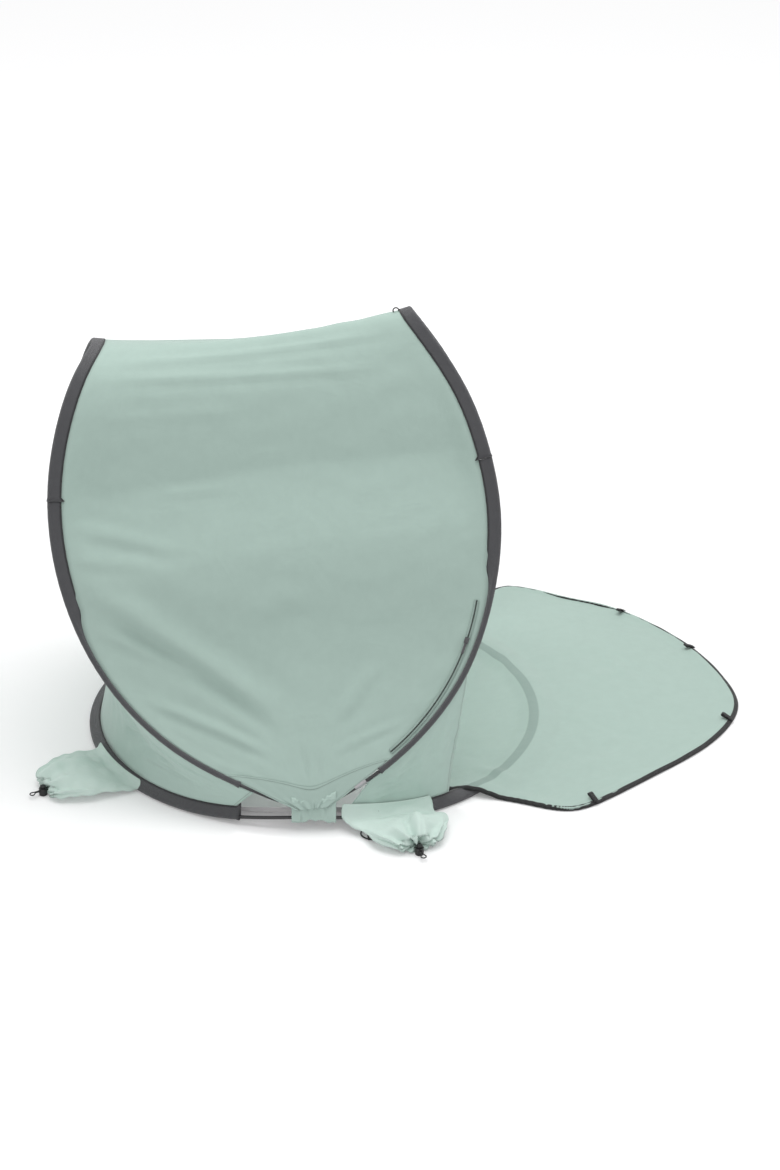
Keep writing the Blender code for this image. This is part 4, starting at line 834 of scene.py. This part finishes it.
# Tails: the canopy's hem is sewn to a tapering double layer of the same cloth, which runs
# down to the crossing of the hoops and is gathered there.
tail_rows, tail_end_share, tail_proud = 26, 0.20, 0.0050
tail_hem, tail_clear, gather_depth, gather_ripple, tail_off = 0.009, 0.0012, 0.0014, 0.0016, 0.0008
wrap_wall, wrap_length = 0.0016, 0.088
# painted shade: the tails are the canopy's cloth, given a darker copy of its mint
shaded_tail_mint = (0.372, 0.485, 0.438)
tail_look = hemmed("tail_cloth_painted_shade", shaded_tail_mint)
wrap_depth = rod_radius + 2 * rod_gap + wrap_wall + cloth / 2 + 3 * fit_gap
for label, hem, above, foot, side in (
        ("near", canopy_grid[0], canopy_grid[1], rear_line[0], -1.0),
        ("far", canopy_grid[-1], canopy_grid[-2], rear_line[-1], 1.0)):
    down = np.linspace(0.0, 1.0, tail_rows + 1)[:, None, None]
    width = tail_end_share + (1 - tail_end_share) * (1 - down)
    middle = hem[canopy_columns // 2]
    end = foot + np.array([0.0, side * (wrap_depth / unit(middle - foot)[2] + tail_proud), 0.0])
    along = unit(hem[-1] - hem[0])
    reach = ((hem - middle) @ along)[:, None] * along
    head = hem - unit(hem - above) * tail_hem - reach + [0.0, side * tail_clear, 0.0]
    grid = head[None] * (1 - down) + end * down + reach[None] * width
    pleat = np.sin(across[0] * 46 + 2.5 * np.sin(across[0] * 11))[None]
    ripple = gather_ripple * crumple(down[..., 0] * 0.15, across * 0.2, 0.05, 5)
    gather = smooth_step(0.45, 1.0, down[..., 0]) * (gather_depth * pleat + ripple)
    grid[..., 1] += side * (gather + tail_off * smooth_step(0.0, 0.3, down[..., 0]))
    order = 1 if side < 0 else -1
    tail = cloth_piece(f"tail_{label}", grid[:, ::order], tail_look, f"tail_tab_{label}",
                       sewn=("first", "left", "right"), even=False)

# Wraps: a crumpled sleeve of the same cloth, two layers, sewn round both rods where they
# cross and tied in with the tail.
wrap_rows, wrap_columns = 44, 40
# painted light: the wraps are the canopy's cloth, given a lighter copy of its mint
lit_wrap_mint = (0.455, 0.588, 0.532)
wrap_flare, wrap_waist, wrap_rise = 0.0040, 0.0020, 0.0070
wrap_ridge, wrap_ripple = 0.0021, 0.0009
wrap_round = rod_radius + 2 * rod_gap + wrap_wall / 2
wrap_look = hemmed("wrap_cloth_painted_light", lit_wrap_mint, crease_size=9.0)
wrap_x = rear_line[0][0] + wrap_length * np.linspace(-0.5, 0.5, wrap_rows + 1)
wrap_turn = np.linspace(0.0, pi, wrap_columns // 2)
near_upper = np.concatenate([rear_line[24:0:-1], front_line[:25]])
far_upper = np.concatenate([rear_line[-25:-1], front_line[:-26:-1]])
wrap_lower = floor_hoop(np.linspace(-pi / 2 - radians(18), -pi / 2 + radians(18), 73))
for label, upper, lower in (("near", near_upper, wrap_lower),
                            ("far", far_upper, wrap_lower * [1.0, -1.0, 1.0])):
    top, foot = (np.stack([np.interp(wrap_x, line[:, 0], line[:, i]) for i in range(3)], 1)
                 for line in (upper, lower))
    rise = unit(top - foot)
    out = unit(np.cross(rise, [1.0, 0.0, 0.0]))
    spread, high = np.cos(wrap_turn)[None, :, None], np.sin(wrap_turn)[None, :, None]
    arc = wrap_round * (out[:, None] * spread + rise[:, None] * high)
    grid = np.concatenate([top[:, None] + arc, foot[:, None] - arc], 1)
    centre = (top + foot)[:, None] / 2
    off = unit(grid - centre)
    run = wrap_x[:, None] + 0 * off[..., 0]
    round_it = np.linspace(0.0, 0.07, wrap_columns)[None] + 0 * run
    from_middle = (run - wrap_x.mean()) / wrap_length * 2
    bow = wrap_flare * np.abs(from_middle) - wrap_waist * np.exp(-(from_middle / 0.3) ** 2)
    grid[..., 2] += wrap_rise * smooth_step(-0.2, 1.0, off[..., 2])
    ridges = 1 - 2 * np.abs(np.sin(9 * from_middle * (1 + 0.5 * np.sin(round_it * 90)) + round_it * 60))
    grid += off * (bow + wrap_ridge * ridges * smooth_step(1.1, 0.5, np.abs(from_middle))
                   + wrap_ripple * (1 + crumple(run, round_it, 0.014, 12)))[..., None]
    wrap = surface(f"wrap_{label}", grid, wrap_look, closed=True,
                   marks={"edge": np.full(run.shape, 1.0), "along": run})
    fit(thicken(wrap, canopy_wall * 1.6, even=False), "cloth", f"hoop_wrap_{label}")

# Rear wall and front gussets: the same cloth hangs from the hoop's sleeve to the floor
# hoop's. It is pulled into short level folds at the back and upright ones at the front.
seam_lap = 0.0004
seam_clear = sleeve_outer - seam_lap
wall_end_angle, wall_reach, wall_rows = radians(72), 108, 40
gusset_first, gusset_last, gusset_rows = 12, 42, 36
gusset_end, gusset_front = radians(80), radians(53)
back_sag, wall_ripple_depth = 0.040, 0.0016
upright_depth, gusset_ripple_depth = 0.0042, 0.0012


def draped_wall(line, rows, angles, sag, steps_down):
    """A sheet between rows of the canopy hoop and angles round the floor hoop: straight
    lines from seam to seam, bowed inwards by sag sin(pi t^1.5). Returns it, t and inwards."""
    foot = floor_hoop(angles) + floor_tail(angles)[0] * (sleeve_tail + seam_lap)
    head, along = line[rows], tangent(line)[rows]
    fall = foot - head
    fall = unit(fall - along * np.sum(fall * along, 1, keepdims=True))
    head = head + fall * seam_clear
    t = np.linspace(0.0, 1.0, steps_down + 1)[:, None, None]
    inner = -unit(foot * [1.0, 1.0, 0.0])
    bow = np.reshape(sag, (1, -1, 1)) * np.sin(pi * t ** 1.5)
    return head[None] * (1 - t) + foot[None] * t + bow * inner[None], t, inner


wall_turn = np.arange(-wall_reach, wall_reach + 1) / wall_reach
wall_sag_grid, t, inner = draped_wall(rear_line, half_rows + (wall_turn * wall_reach).astype(int),
                                      pi - wall_end_angle * wall_turn,
                                      back_sag * (1 - smooth_step(0.5, 0.95, np.abs(wall_turn))),
                                      wall_rows)
run = np.linspace(0.0, 1.0, wall_rows + 1)[:, None] * 0.5
wide = wall_turn[None] * 0.95
wall_folds = [
    # height down and width round: the start and end of each fold, its width and depth
    (0.44, -0.42, 0.32, -0.66, 0.020, 0.0110), (0.46, -0.50, 0.24, -0.78, 0.015, 0.0085),
    (0.43, -0.56, 0.30, -0.86, 0.012, -0.0060), (0.30, -0.70, 0.36, -0.30, 0.018, 0.0050),
    (0.10, -0.90, 0.22, -0.60, 0.016, 0.0045), (0.20, -0.50, 0.30, -0.62, 0.014, 0.0040),
    (0.38, 0.90, 0.43, 0.48, 0.016, 0.0070), (0.32, 0.66, 0.36, 0.26, 0.018, 0.0060),
    (0.43, -0.20, 0.44, 0.30, 0.016, 0.0060), (0.08, 0.10, 0.30, 0.35, 0.020, 0.0050),
    (0.06, -0.30, 0.32, -0.10, 0.020, 0.0050), (0.24, -0.15, 0.26, 0.25, 0.024, 0.0050),
]
# painted light: the rear wall and gussets are the canopy's cloth, given a lighter copy of its mint
lit_wall_mint = (0.458, 0.598, 0.539)
wall_look = hemmed("wall_cloth", lit_wall_mint)
lift = folds(run, wide, wall_folds) + wall_ripple_depth * crumple(run, wide, 0.11, 21)
hang = np.sin(pi * t[..., 0]) ** 0.5 * np.sin(pi * (wall_turn[None] + 1) / 2) ** 0.3
wall_sag_grid += (lift * hang)[..., None] * inner[None]
rear_wall = cloth_piece("rear_wall_cloth", wall_sag_grid, wall_look, "rear_wall", sewn=("left", "right"))
for label, side in (("near", -1), ("far", 1)):
    rows = half_rows + side * (half_rows - np.arange(gusset_first, gusset_last + 1))
    turn = np.linspace(gusset_end, gusset_front, len(rows)) * side
    grid, t, inner = draped_wall(front_line, rows, turn, 0.0, gusset_rows)
    run, wide = t[..., 0] * 0.35, np.linspace(0.0, 0.3, len(rows))[None]
    upright = np.sin(wide * 95 + 1.5 * np.sin(run * 14)) * 0.5 + 0.5 * np.sin(wide * 41 + run * 9)
    lift = upright_depth * upright * smooth_step(0.0, 0.4, t[..., 0])
    lift = lift + gusset_ripple_depth * crumple(run, wide, 0.05, 31)
    hang = np.sin(pi * t[..., 0]) ** 0.6 * smooth_step(0.0, 0.08, wide)
    grid += (lift * hang)[..., None] * inner[None]
    gusset = cloth_piece(f"gusset_{label}", grid, wall_look, f"front_gusset_{label}", sewn=("right",))

# Floor sheet: a round of coated grey groundsheet sewn inside the floor hoop, lying on the
# ground with shallow creases from being folded.
groundsheet = (0.70, 0.69, 0.695)
floor_side = 90
lift_start, rim_start, floor_ripple_depth = 0.78, 0.95, 0.0022
floor_seam, floor_inset = 0.003, 0.004
square = np.sin(np.linspace(-pi / 2, pi / 2, floor_side + 1) * 0.97) / sin(pi / 2 * 0.97)
u, v = np.meshgrid(square, square, indexing="ij")
disc = np.stack([u * np.sqrt(1 - v * v / 2), v * np.sqrt(1 - u * u / 2)], -1)
share = np.minimum(np.linalg.norm(disc, axis=-1), 1.0)
turn = np.arctan2(disc[..., 1], disc[..., 0])
rim_tail = floor_tail(turn.ravel())[0].reshape(*turn.shape, 3)
rim = (floor_hoop(turn) + rim_tail * (sleeve_tail - floor_seam)
       + hoop_inward(turn)[0] * floor_inset)
floor_grid = rim * share[..., None]
hoop_height = floor_hoop(turn)[..., 2] - sleeve_outer
floor_grid[..., 2] = (cloth / 2 + hoop_height * smooth_step(lift_start, 1.0, share)
                      + (rim[..., 2] - hoop_height - cloth / 2) * smooth_step(rim_start, 1.0, share))
ripple = np.maximum(crumple(floor_grid[..., 0], floor_grid[..., 1], 0.16, 41), 0.0)
inside_mat = 1 - smooth_step(0.20, 0.26, floor_grid[..., 0])
floor_grid[..., 2] += floor_ripple_depth * ripple * inside_mat * (1 - smooth_step(0.80, 0.93, share))
floor_look = hemmed("coated_groundsheet", groundsheet, thread=0.0010, weave_height=0.00005,
                    crease_height=0.003, crease_size=9.0, roughness=0.48, sheen=0.05)
floor_sheet = cloth_piece("groundsheet_cloth", floor_grid, floor_look, "floor_sheet", slot="groundsheet",
                          marks={"edge": (1 - share) * 0.45, "along": turn * 0.45})

# Porch mat: one layer of the mint cloth sewn to the groundsheet at its rear edge. It lies
# over the front of the floor hoop, whose dark sleeve shows through, and its free edge
# stands up a little inside the binding.
porch_hinge_x, porch_length, porch_width = 0.275, 0.640, 0.916
porch_outline_shares = np.array([
    # forward of the hinge and across: near side, front, far side
    (0.000, -0.347), (0.110, -0.371), (0.242, -0.400), (0.394, -0.428), (0.508, -0.384),
    (0.664, -0.288), (0.852, -0.162), (0.952, -0.060), (1.000, 0.044), (0.981, 0.153),
    (0.914, 0.286), (0.820, 0.397), (0.719, 0.480), (0.594, 0.548), (0.445, 0.598),
    (0.228, 0.650), (0.155, 0.575), (0.095, 0.440), (0.000, 0.330),
])
near_corner, far_corner, outline_fine = 3, 13, 12
porch_cloth, tape_wall, tape_gap, tape_width = 0.0012, 0.0006, 0.0008, 0.009
tape_half = porch_cloth / 2 + tape_gap + tape_wall
mat_rows, mat_columns, edge_rise = 130, 130, 0.0040
mat_ripple_depth, mat_grain_depth = 0.0010, 0.0003
# metres out from the floor hoop: where the mat starts and ends its way over it, and the
# middle, half width and sharpness of the dark arc where the sleeve shows through
over_from, over_on, over_off, over_to = -0.044, -0.006, 0.007, 0.060
arc_at, arc_half, arc_sharp = 0.0062, 0.0105, 420.0
pale_mint = (0.405, 0.524, 0.473)
outline = smooth_line(porch_outline_shares * [porch_length, porch_width], fine=outline_fine)
outline += [porch_hinge_x, 0.0]
outward = tangent(outline)[:, ::-1] * [-1.0, 1.0]
mat_edge = outline + outward * (tape_wall + tape_gap)
mat_edge[[0, -1], 0] = porch_hinge_x
near_side = mat_edge[:near_corner * outline_fine + 1]
front_side = mat_edge[near_corner * outline_fine:far_corner * outline_fine + 1]
far_side = mat_edge[:far_corner * outline_fine - 1:-1]
hinge_side = np.array([near_side[0], far_side[0]])
s = np.sin(pi / 2 * np.arange(mat_rows + 1) / mat_rows)
t = 0.5 - 0.5 * np.cos(pi * np.arange(mat_columns + 1) / mat_columns)
near, far = by_length(near_side, s)[:, None], by_length(far_side, s)[:, None]
hinge, front = by_length(hinge_side, t)[None], by_length(front_side, t)[None]
s, t = s[:, None, None], t[None, :, None]
corners = ((1 - s) * ((1 - t) * near_side[0] + t * far_side[0])
           + s * ((1 - t) * near_side[-1] + t * far_side[-1]))
place = (1 - t) * near + t * far + (1 - s) * hinge + s * front - corners
reach = place / [floor_hoop_length / 2, floor_hoop_width / 2]
out = np.linalg.norm(place, axis=-1) * (1 - 1 / np.linalg.norm(reach, axis=-1))
angle = np.arctan2(reach[..., 1], reach[..., 0])
low = np.where(out < 0.0, cloth + fit_gap, 0.0)
high = floor_hoop(angle)[..., 2] + sleeve_outer + fit_gap
rise = smooth_step(over_from, over_on, out) * (1 - smooth_step(over_off, over_to, out))
height = low + (high - low) * rise + tape_half + fit_gap
mat_grid = np.concatenate([place, height[..., None]], 2)
marks = hem_marks(mat_grid, ("left", "last", "right"))
edge = marks["edge"]
curled = smooth_step(0.0, tape_width, edge) * (1 - smooth_step(0.012, 0.05, edge))
mat_grid[..., 2] += edge_rise * curled
hinged = 1 - smooth_step(0.0, 0.03, place[..., 0] - porch_hinge_x)
mat_grid[..., 2] -= (tape_half - porch_cloth / 2) * hinged * smooth_step(0.02, 0.06, edge)
mat_folds = [
    # x and y of both ends of each crease, its width and depth
    (0.585, -0.115, 0.700, -0.108, 0.006, 0.0016), (0.33, -0.22, 0.43, -0.30, 0.014, 0.0025),
    (0.56, 0.10, 0.70, 0.22, 0.016, 0.0018), (0.50, -0.25, 0.66, -0.17, 0.018, 0.0018),
    (0.62, 0.30, 0.72, 0.10, 0.014, 0.0014), (0.38, 0.10, 0.44, 0.30, 0.016, 0.0018),
]
lift = folds(place[..., 0], place[..., 1], mat_folds)
lift += mat_ripple_depth * (1 + crumple(place[..., 0], place[..., 1], 0.10, 51))
lift += mat_grain_depth * crumple(place[..., 0], place[..., 1], 0.030, 52)
mat_grid[..., 2] += lift * smooth_step(0.0, 0.03, edge) * (1 - hinged)
mat_look = hemmed("mat_cloth", pale_mint, crease_height=0.0018, crease_size=14.0, roughness=0.70,
                  sheen=0.2)
tree = mat_look.node_tree
arc = maths(tree, "ABSOLUTE", maths(tree, "ADD", mark_value(mat_look, "hoop"), arc_at))
arc = maths(tree, "MULTIPLY_ADD", maths(tree, "SUBTRACT", arc, arc_half), -arc_sharp, 0.5,
            clamp=True)
darken(mat_look, arc, 0.85, (0.66, 0.68, 0.68))
marks["hoop"] = out
porch_mat = cloth_piece("porch_mat_cloth", mat_grid, mat_look, "porch_mat", marks=marks, body="porch")

# Binding: a black woven tape folded over the mat's three free edges and sewn through. It
# slopes down outwards to the ground.
tape_tilt, tape_ripple = radians(23), 0.00035
edge_path = np.concatenate([mat_grid[:, 0], mat_grid[-1, 1:], mat_grid[-2::-1, -1]])
edge_along = tangent(edge_path)
edge_in = unit(np.cross([0.0, 0.0, 1.0], edge_along))
edge_up = unit(np.cross(edge_along, edge_in))
edge_in, edge_up = (edge_in * cos(tape_tilt) + edge_up * sin(tape_tilt),
                    edge_up * cos(tape_tilt) - edge_in * sin(tape_tilt))
tape_section = np.array([(0.0090, 0.0014), (0.0084, 0.0020), (0.0060, 0.0021), (0.0030, 0.0020),
                         (0.0006, 0.0016), (-0.0010, 0.0007), (-0.0014, -0.0004), (-0.0010, -0.0013),
                         (0.0006, -0.0019), (0.0035, -0.0021), (0.0084, -0.0020), (0.0090, -0.0014)])
black_webbing = (0.022, 0.022, 0.023)
webbing_look = fabric("black_webbing", black_webbing, 0.0014, 0.0004, 0.0004, 60.0, 0.78, 0.25,
                      darker=0.6)
grid = swept(edge_path, edge_in, edge_up, tape_section)
step = np.arange(len(edge_path))
grid[..., 2] += tape_ripple * np.sin(step * 0.9 + 2 * np.sin(step * 0.13))[:, None]
binding = fit(capped("binding_tape", grid, webbing_look), "black_webbing", "porch_binding", body="porch")

# Peg tabs: loops of black webbing, each folded over the porch mat's binding and sewn to
# the mat, so that a peg can hold the mat's free edge down.
tab_width, tab_webbing = 0.0105, 0.0012
tab_places = [0.05, 0.45, 0.75, 0.95]
tab_line = smooth_line([(-0.0005, 0.0036), (0.006, 0.0038), (0.012, 0.0032), (0.020, 0.0026),
                        (0.0255, 0.0030), (0.0272, 0.0050), (0.0250, 0.0068), (0.018, 0.0070),
                        (0.009, 0.0066), (0.0005, 0.0056)], fine=5)
run = tangent(tab_line)
tab_section = np.array([(-0.5, -0.3), (-0.42, -0.5), (0.42, -0.5), (0.5, -0.3),
                        (0.5, 0.3), (0.42, 0.5), (-0.42, 0.5), (-0.5, 0.3)]) * [tab_width, tab_webbing]
for number, share in enumerate(tab_places, 1):
    index = mat_rows + np.arccos(1 - 2 * share) / pi * mat_columns
    origin, along, inside, up = (part_rows(line, [index])[0]
                                 for line in (edge_path, edge_along, edge_in, edge_up))
    path = origin + tab_line[:, :1] * inside + tab_line[:, 1:] * up
    normal = run[:, :1] * up - run[:, 1:] * inside
    grid = swept(path, np.tile(along, (len(path), 1)), normal, tab_section)
    fit(capped(f"tab_{number}", grid, webbing_look), "black_webbing", f"peg_tab_{number}",
                    body="porch")

# Zips: a mint woven tape with a black nylon coil on each lower front edge of the canopy. The
# frame's sliders and pulls stay and get a metallic black enamel with an uneven worn tone.
zip_first, zip_last, zip_inset, coarse = 0.53, 0.83, 0.015, 6
zip_tape_width, zip_probes = 0.010, 60
tape_edge, tape_back, tape_shoulder = 0.0009, 0.0012, 0.0022
coil_pitch, coil_wire = 0.0015, 0.00042
coil_half_width, coil_half_height, coil_centre = 0.00125, 0.0005, 0.00165
wire_turn = 2 * pi * np.arange(5) / 5
zip_look = fabric("zip_tape", mint, 0.0009, 0.0002, 0.0004, 60.0, 0.75, 0.2)
coil_look = worn_look("zip_coil", (0.060, 0.070, 0.066), 0.40, (0.070, 0.082, 0.077), 0.6, 260.0,
                      specular=0.4)
enamel_look = worn_look("worn_enamel", (0.10, 0.10, 0.105), 0.36, (0.13, 0.13, 0.135), 0.55, 340.0,
                        relief=0.00006, metallic=0.8)
seat_sheet, _ = canopy_sheet(rear_line[::coarse], front_line[::coarse], 6, 0.0)
quarter = half_rows // coarse
for label, side in (("near", -1), ("far", 1)):
    rows = quarter + side * quarter * np.linspace(zip_first, zip_last, zip_probes)
    rim, second = (part_rows(seat_sheet[:, column], rows) for column in (-1, -2))
    width = unit(second - rim)
    track = rim + width * zip_inset
    normal = unit(np.cross(tangent(track), width))
    normal *= np.sign(np.sum(normal * (track - track.mean(0) * [1.0, 0.0, 1.0]), 1, keepdims=True))
    a, b, c = track[[0, zip_probes // 2, -1]]
    axis = unit(np.cross(b - a, c - a))
    centre = np.linalg.solve([b - a, c - a, axis], [(b - a) @ (a + b) / 2, (c - a) @ (a + c) / 2,
                                                    axis @ a])
    radius, start = np.linalg.norm(a - centre), unit(a - centre)
    onward = np.cross(axis, start)
    sweep_angle = np.arctan2((c - centre) @ onward, (c - centre) @ start)
    ray = unit(b - centre)
    over = unit([width[zip_probes // 2] @ ray, width[zip_probes // 2] @ axis])
    outer = np.array([-over[1], over[0]])
    outer *= np.sign(outer @ [normal[zip_probes // 2] @ ray, normal[zip_probes // 2] @ axis])
    turn = sweep_angle * np.linspace(0.0, 1.0, 97)[:, None]
    rays = np.cos(turn) * start + np.sin(turn) * onward
    path, wide = centre + rays * radius, over[0] * rays + over[1] * axis
    away = outer[0] * rays + outer[1] * axis
    coarse_path, coarse_wide = path[::8], wide[::8]
    edges = np.concatenate([coarse_path + coarse_wide * zip_tape_width / 2, coarse_path,
                            coarse_path - coarse_wide * zip_tape_width / 2])
    nearest = np.linalg.norm(track[None] - edges[:, None], axis=2).argmin(1)
    seat = cloth / 2 + 2 * fit_gap - np.sum((edges - track[nearest]) * normal[nearest], 1).min()
    half = zip_tape_width / 2
    section = np.array([(-half, seat), (half, seat), (half, seat + tape_edge),
                        (tape_shoulder, seat + tape_back), (-tape_shoulder, seat + tape_back),
                        (-half, seat + tape_edge)])
    grid = swept(path, wide, away, section)
    fit(capped(f"zip_tape_{label}", grid, zip_look), "zip_plastic", f"zip_track_{label}")
    length = abs(sweep_angle) * radius
    turns = np.arange(int(length / coil_pitch) * 8 + 1) / 8
    at = turns * coil_pitch / length * 96
    line, wide, away = (part_rows(v, at) for v in (path, wide, away))
    ring = 2 * pi * turns[:, None]
    coil = (line + wide * coil_half_width * np.cos(ring)
            + away * (seat + coil_centre + coil_half_height * np.sin(ring)))
    winding = tangent(coil)
    beside = unit(np.cross(tangent(line), winding))
    round_wire = np.stack([np.cos(wire_turn), np.sin(wire_turn)], 1) * coil_wire
    teeth = swept(coil, beside, np.cross(winding, beside), round_wire)
    fit(capped(f"zip_coil_{label}", teeth, coil_look), "zip_plastic")
    keep_node(f"zip_slider_{label}", enamel_look, 0.0004)
    keep_node(f"zip_pull_{label}", enamel_look, 0.0003)

# Sand pockets: two layers of the mint cloth sewn to the floor hoop's sleeve, gathered into
# a frilled mouth by the drawcord. Deep pleats fan out from the mouth.
pocket_loft, pocket_seam, pocket_columns, pocket_fine = 0.036, 0.0030, 144, 8
pocket_half = pocket_width / 2
pocket_shares = [(0.13, 0.98, 0.42), (0.34, 0.95, 0.80), (0.58, 0.90, 1.04),
                 (0.80, 0.79, 1.12), (0.98, 0.60, 1.02), (1.09, 0.36, 0.74)]
pocket_lap, pocket_lip, frill_lip = 0.0012, 0.001, 0.002
pocket_climb = {"near_front": 0.022, "near_rear": 0.010, "far_front": 0.018, "far_rear": 0.010}
pleat_depth, crease_depth, crease_dip = 0.0075, 0.0100, 0.0075
bulge_depth, frill_depth, pocket_proud = 0.0028, 0.0016, 0.0022
# painted light: the pockets are the canopy's cloth, given a much lighter copy of its mint
lit_pocket_mint = (0.605, 0.737, 0.680)
pocket_pleats = {"near_front": (9, 0.3, -0.15, 61), "near_rear": (8, 2.1, 0.30, 62),
                 "far_front": (9, 1.2, 0.2, 63), "far_rear": (8, 0.9, -0.2, 64)}
pocket_look = hemmed("pocket_cloth", lit_pocket_mint, crease_height=0.0035, crease_size=18.0)
for label, angle, reach_share, shift_share in pockets:
    foot = floor_hoop(angle)
    inward, along = hoop_inward(angle)
    outward, sideways = -inward, unit(along * [1.0, 1.0, 0.0])
    reach, shift = pocket_length * reach_share, pocket_length * shift_share
    turn = 2 * pi * (np.arange(pocket_columns) + 0.5) / pocket_columns
    across = np.cos(turn)
    upper = np.tanh(np.sin(turn) * 9)
    hoop_angles = angle + across * pocket_half / (floor_hoop_width / 2)
    seam = floor_hoop(hoop_angles)
    seam -= hoop_inward(hoop_angles)[0] * (sleeve_outer - 0.0003)
    seam_x, seam_y = (seam - foot) @ outward, (seam - foot) @ sideways
    run = reach - lock_radius - mouth_gap - neck_length
    above = smooth_step(-0.2, 0.4, np.sin(turn))
    crest = seam[:, 2] + above * (sleeve_outer + pocket_proud)
    climbed = crest + above * pocket_climb[label]
    back = sleeve_outer * above
    rings = [np.stack([seam_x - back * 1.6, seam_y, climbed], 1),
             np.stack([seam_x - back * 1.3, seam_y, (crest + climbed) / 2], 1),
             np.stack([seam_x - back * 0.3, seam_y, crest + pocket_lip * above], 1)]
    for share, wide, thick in pocket_shares:
        blend, settle = smooth_step(0.0, 0.55, share), smooth_step(0.0, 0.4, share)
        x = seam_x * (1 - blend) + run * share + pocket_lap
        y = (seam_y * (1 - blend) + across * pocket_half * (blend + wide - 1.0)
             + shift * smooth_step(0.0, 0.4, share))
        belly = pocket_loft * thick
        lying = (pocket_cloth + pocket_seam + belly) / 2 + fit_gap
        middle = np.maximum(seam[:, 2] * (1 - settle) + lying * settle, lying)
        deep = pocket_seam + belly * (1 - np.abs(across) ** 2.2)
        rings.append(np.stack([x, y, middle + upper * deep / 2], 1))
    for x, flare in ((run + pocket_lip, 1.25), (run + neck_length * 0.5, 1.52),
                     (run + neck_length, 1.22), (run + neck_length + frill_lip, 1.30)):
        rings.append(np.stack([np.full(pocket_columns, x), shift + np.cos(turn) * neck_radius * flare,
                               neck_z + np.sin(turn) * neck_radius * flare], 1))
    shell = smooth_line(np.array(rings).reshape(len(rings), -1), fine=pocket_fine)
    shell = shell.reshape(-1, pocket_columns, 3)
    level = np.linspace(0.0, 1.0, len(shell))[:, None]
    beside = np.roll(shell, -1, 1) - np.roll(shell, 1, 1)
    normal = np.cross(np.gradient(shell, axis=0), beside)
    middle = shell.mean(1, keepdims=True)
    outwards = np.sum(normal * (shell - middle), 2, keepdims=True)
    normal = unit(normal + 1e-12) * np.sign(outwards + 1e-12)
    count, phase, crease_turn, seed = pocket_pleats[label]
    swing = count * turn + phase + 0.8 * np.sin(2 * turn) + 1.4 * level
    wave = 1 - 2 * np.abs(np.sin(swing / 2)) ** 0.8
    fan = smooth_step(0.30, 0.66, level) * (1 - 0.75 * smooth_step(0.72, 0.84, level))
    u, v = level * 0.16 + 0 * turn, shell @ [0.0, 1.0, 0.0]
    lift = pleat_depth * fan * wave
    on_top = turn[None] - pi / 2 - crease_turn - 0.5 * (level - 0.5)
    crease = (crease_depth * np.exp(-(on_top / 0.14) ** 2)
              - crease_dip * np.exp(-((on_top - 0.24) / 0.11) ** 2))
    lift = lift + crease * smooth_step(0.20, 0.42, level) * (1 - smooth_step(0.70, 0.80, level))
    bulging = smooth_step(0.02, 0.25, level) * (1 - smooth_step(0.6, 0.9, level))
    lift = lift + bulge_depth * bulging * crumple(u + shell[..., 0] * 0.5, v, 0.050, seed)
    shell += normal * lift[..., None]
    shell[..., 0] += smooth_step(0.95, 1.0, level) * frill_depth * np.cos(11 * turn + phase)
    shell[..., 2] = np.maximum(shell[..., 2], pocket_cloth / 2 + fit_gap)
    ground = foot * [1.0, 1.0, 0.0]
    grid = ground + shell @ np.array([outward, sideways, [0.0, 0.0, 1.0]])
    pocket = cloth_piece(f"pocket_{label}", grid, pocket_look, f"sand_pocket_{label}", sewn=("last",),
                         closed=True, even=False)

# Apex loop: a short black cord, sewn on the ridge behind the front sleeve. The tent hangs
# from it.
apex_radius, apex_rise, apex_half = 0.0013, 0.0075, 0.0055
ridge_row = canopy_reach
rim = canopy_grid[ridge_row, -1]
back = unit(canopy_grid[ridge_row, -10] - rim)
rise = np.array([-back[2], 0.0, back[0]])
rise *= np.sign(rise[2])
apex_base = rim + back * (apex_half + 0.0025) + rise * (cloth / 2 + fit_gap)
apex_shares = np.array([(-1.0, -0.1), (-1.0, 0.45), (-0.6, 0.85), (0.0, 1.0), (0.6, 0.85),
                        (1.0, 0.45), (1.0, -0.1)]) * [apex_half, apex_rise]
apex_line = apex_base + smooth_line(apex_shares, fine=6) @ np.array([back, rise])
fit(tube("apex_cord", apex_line, apex_radius, cord_look), "cord", "apex_loop")
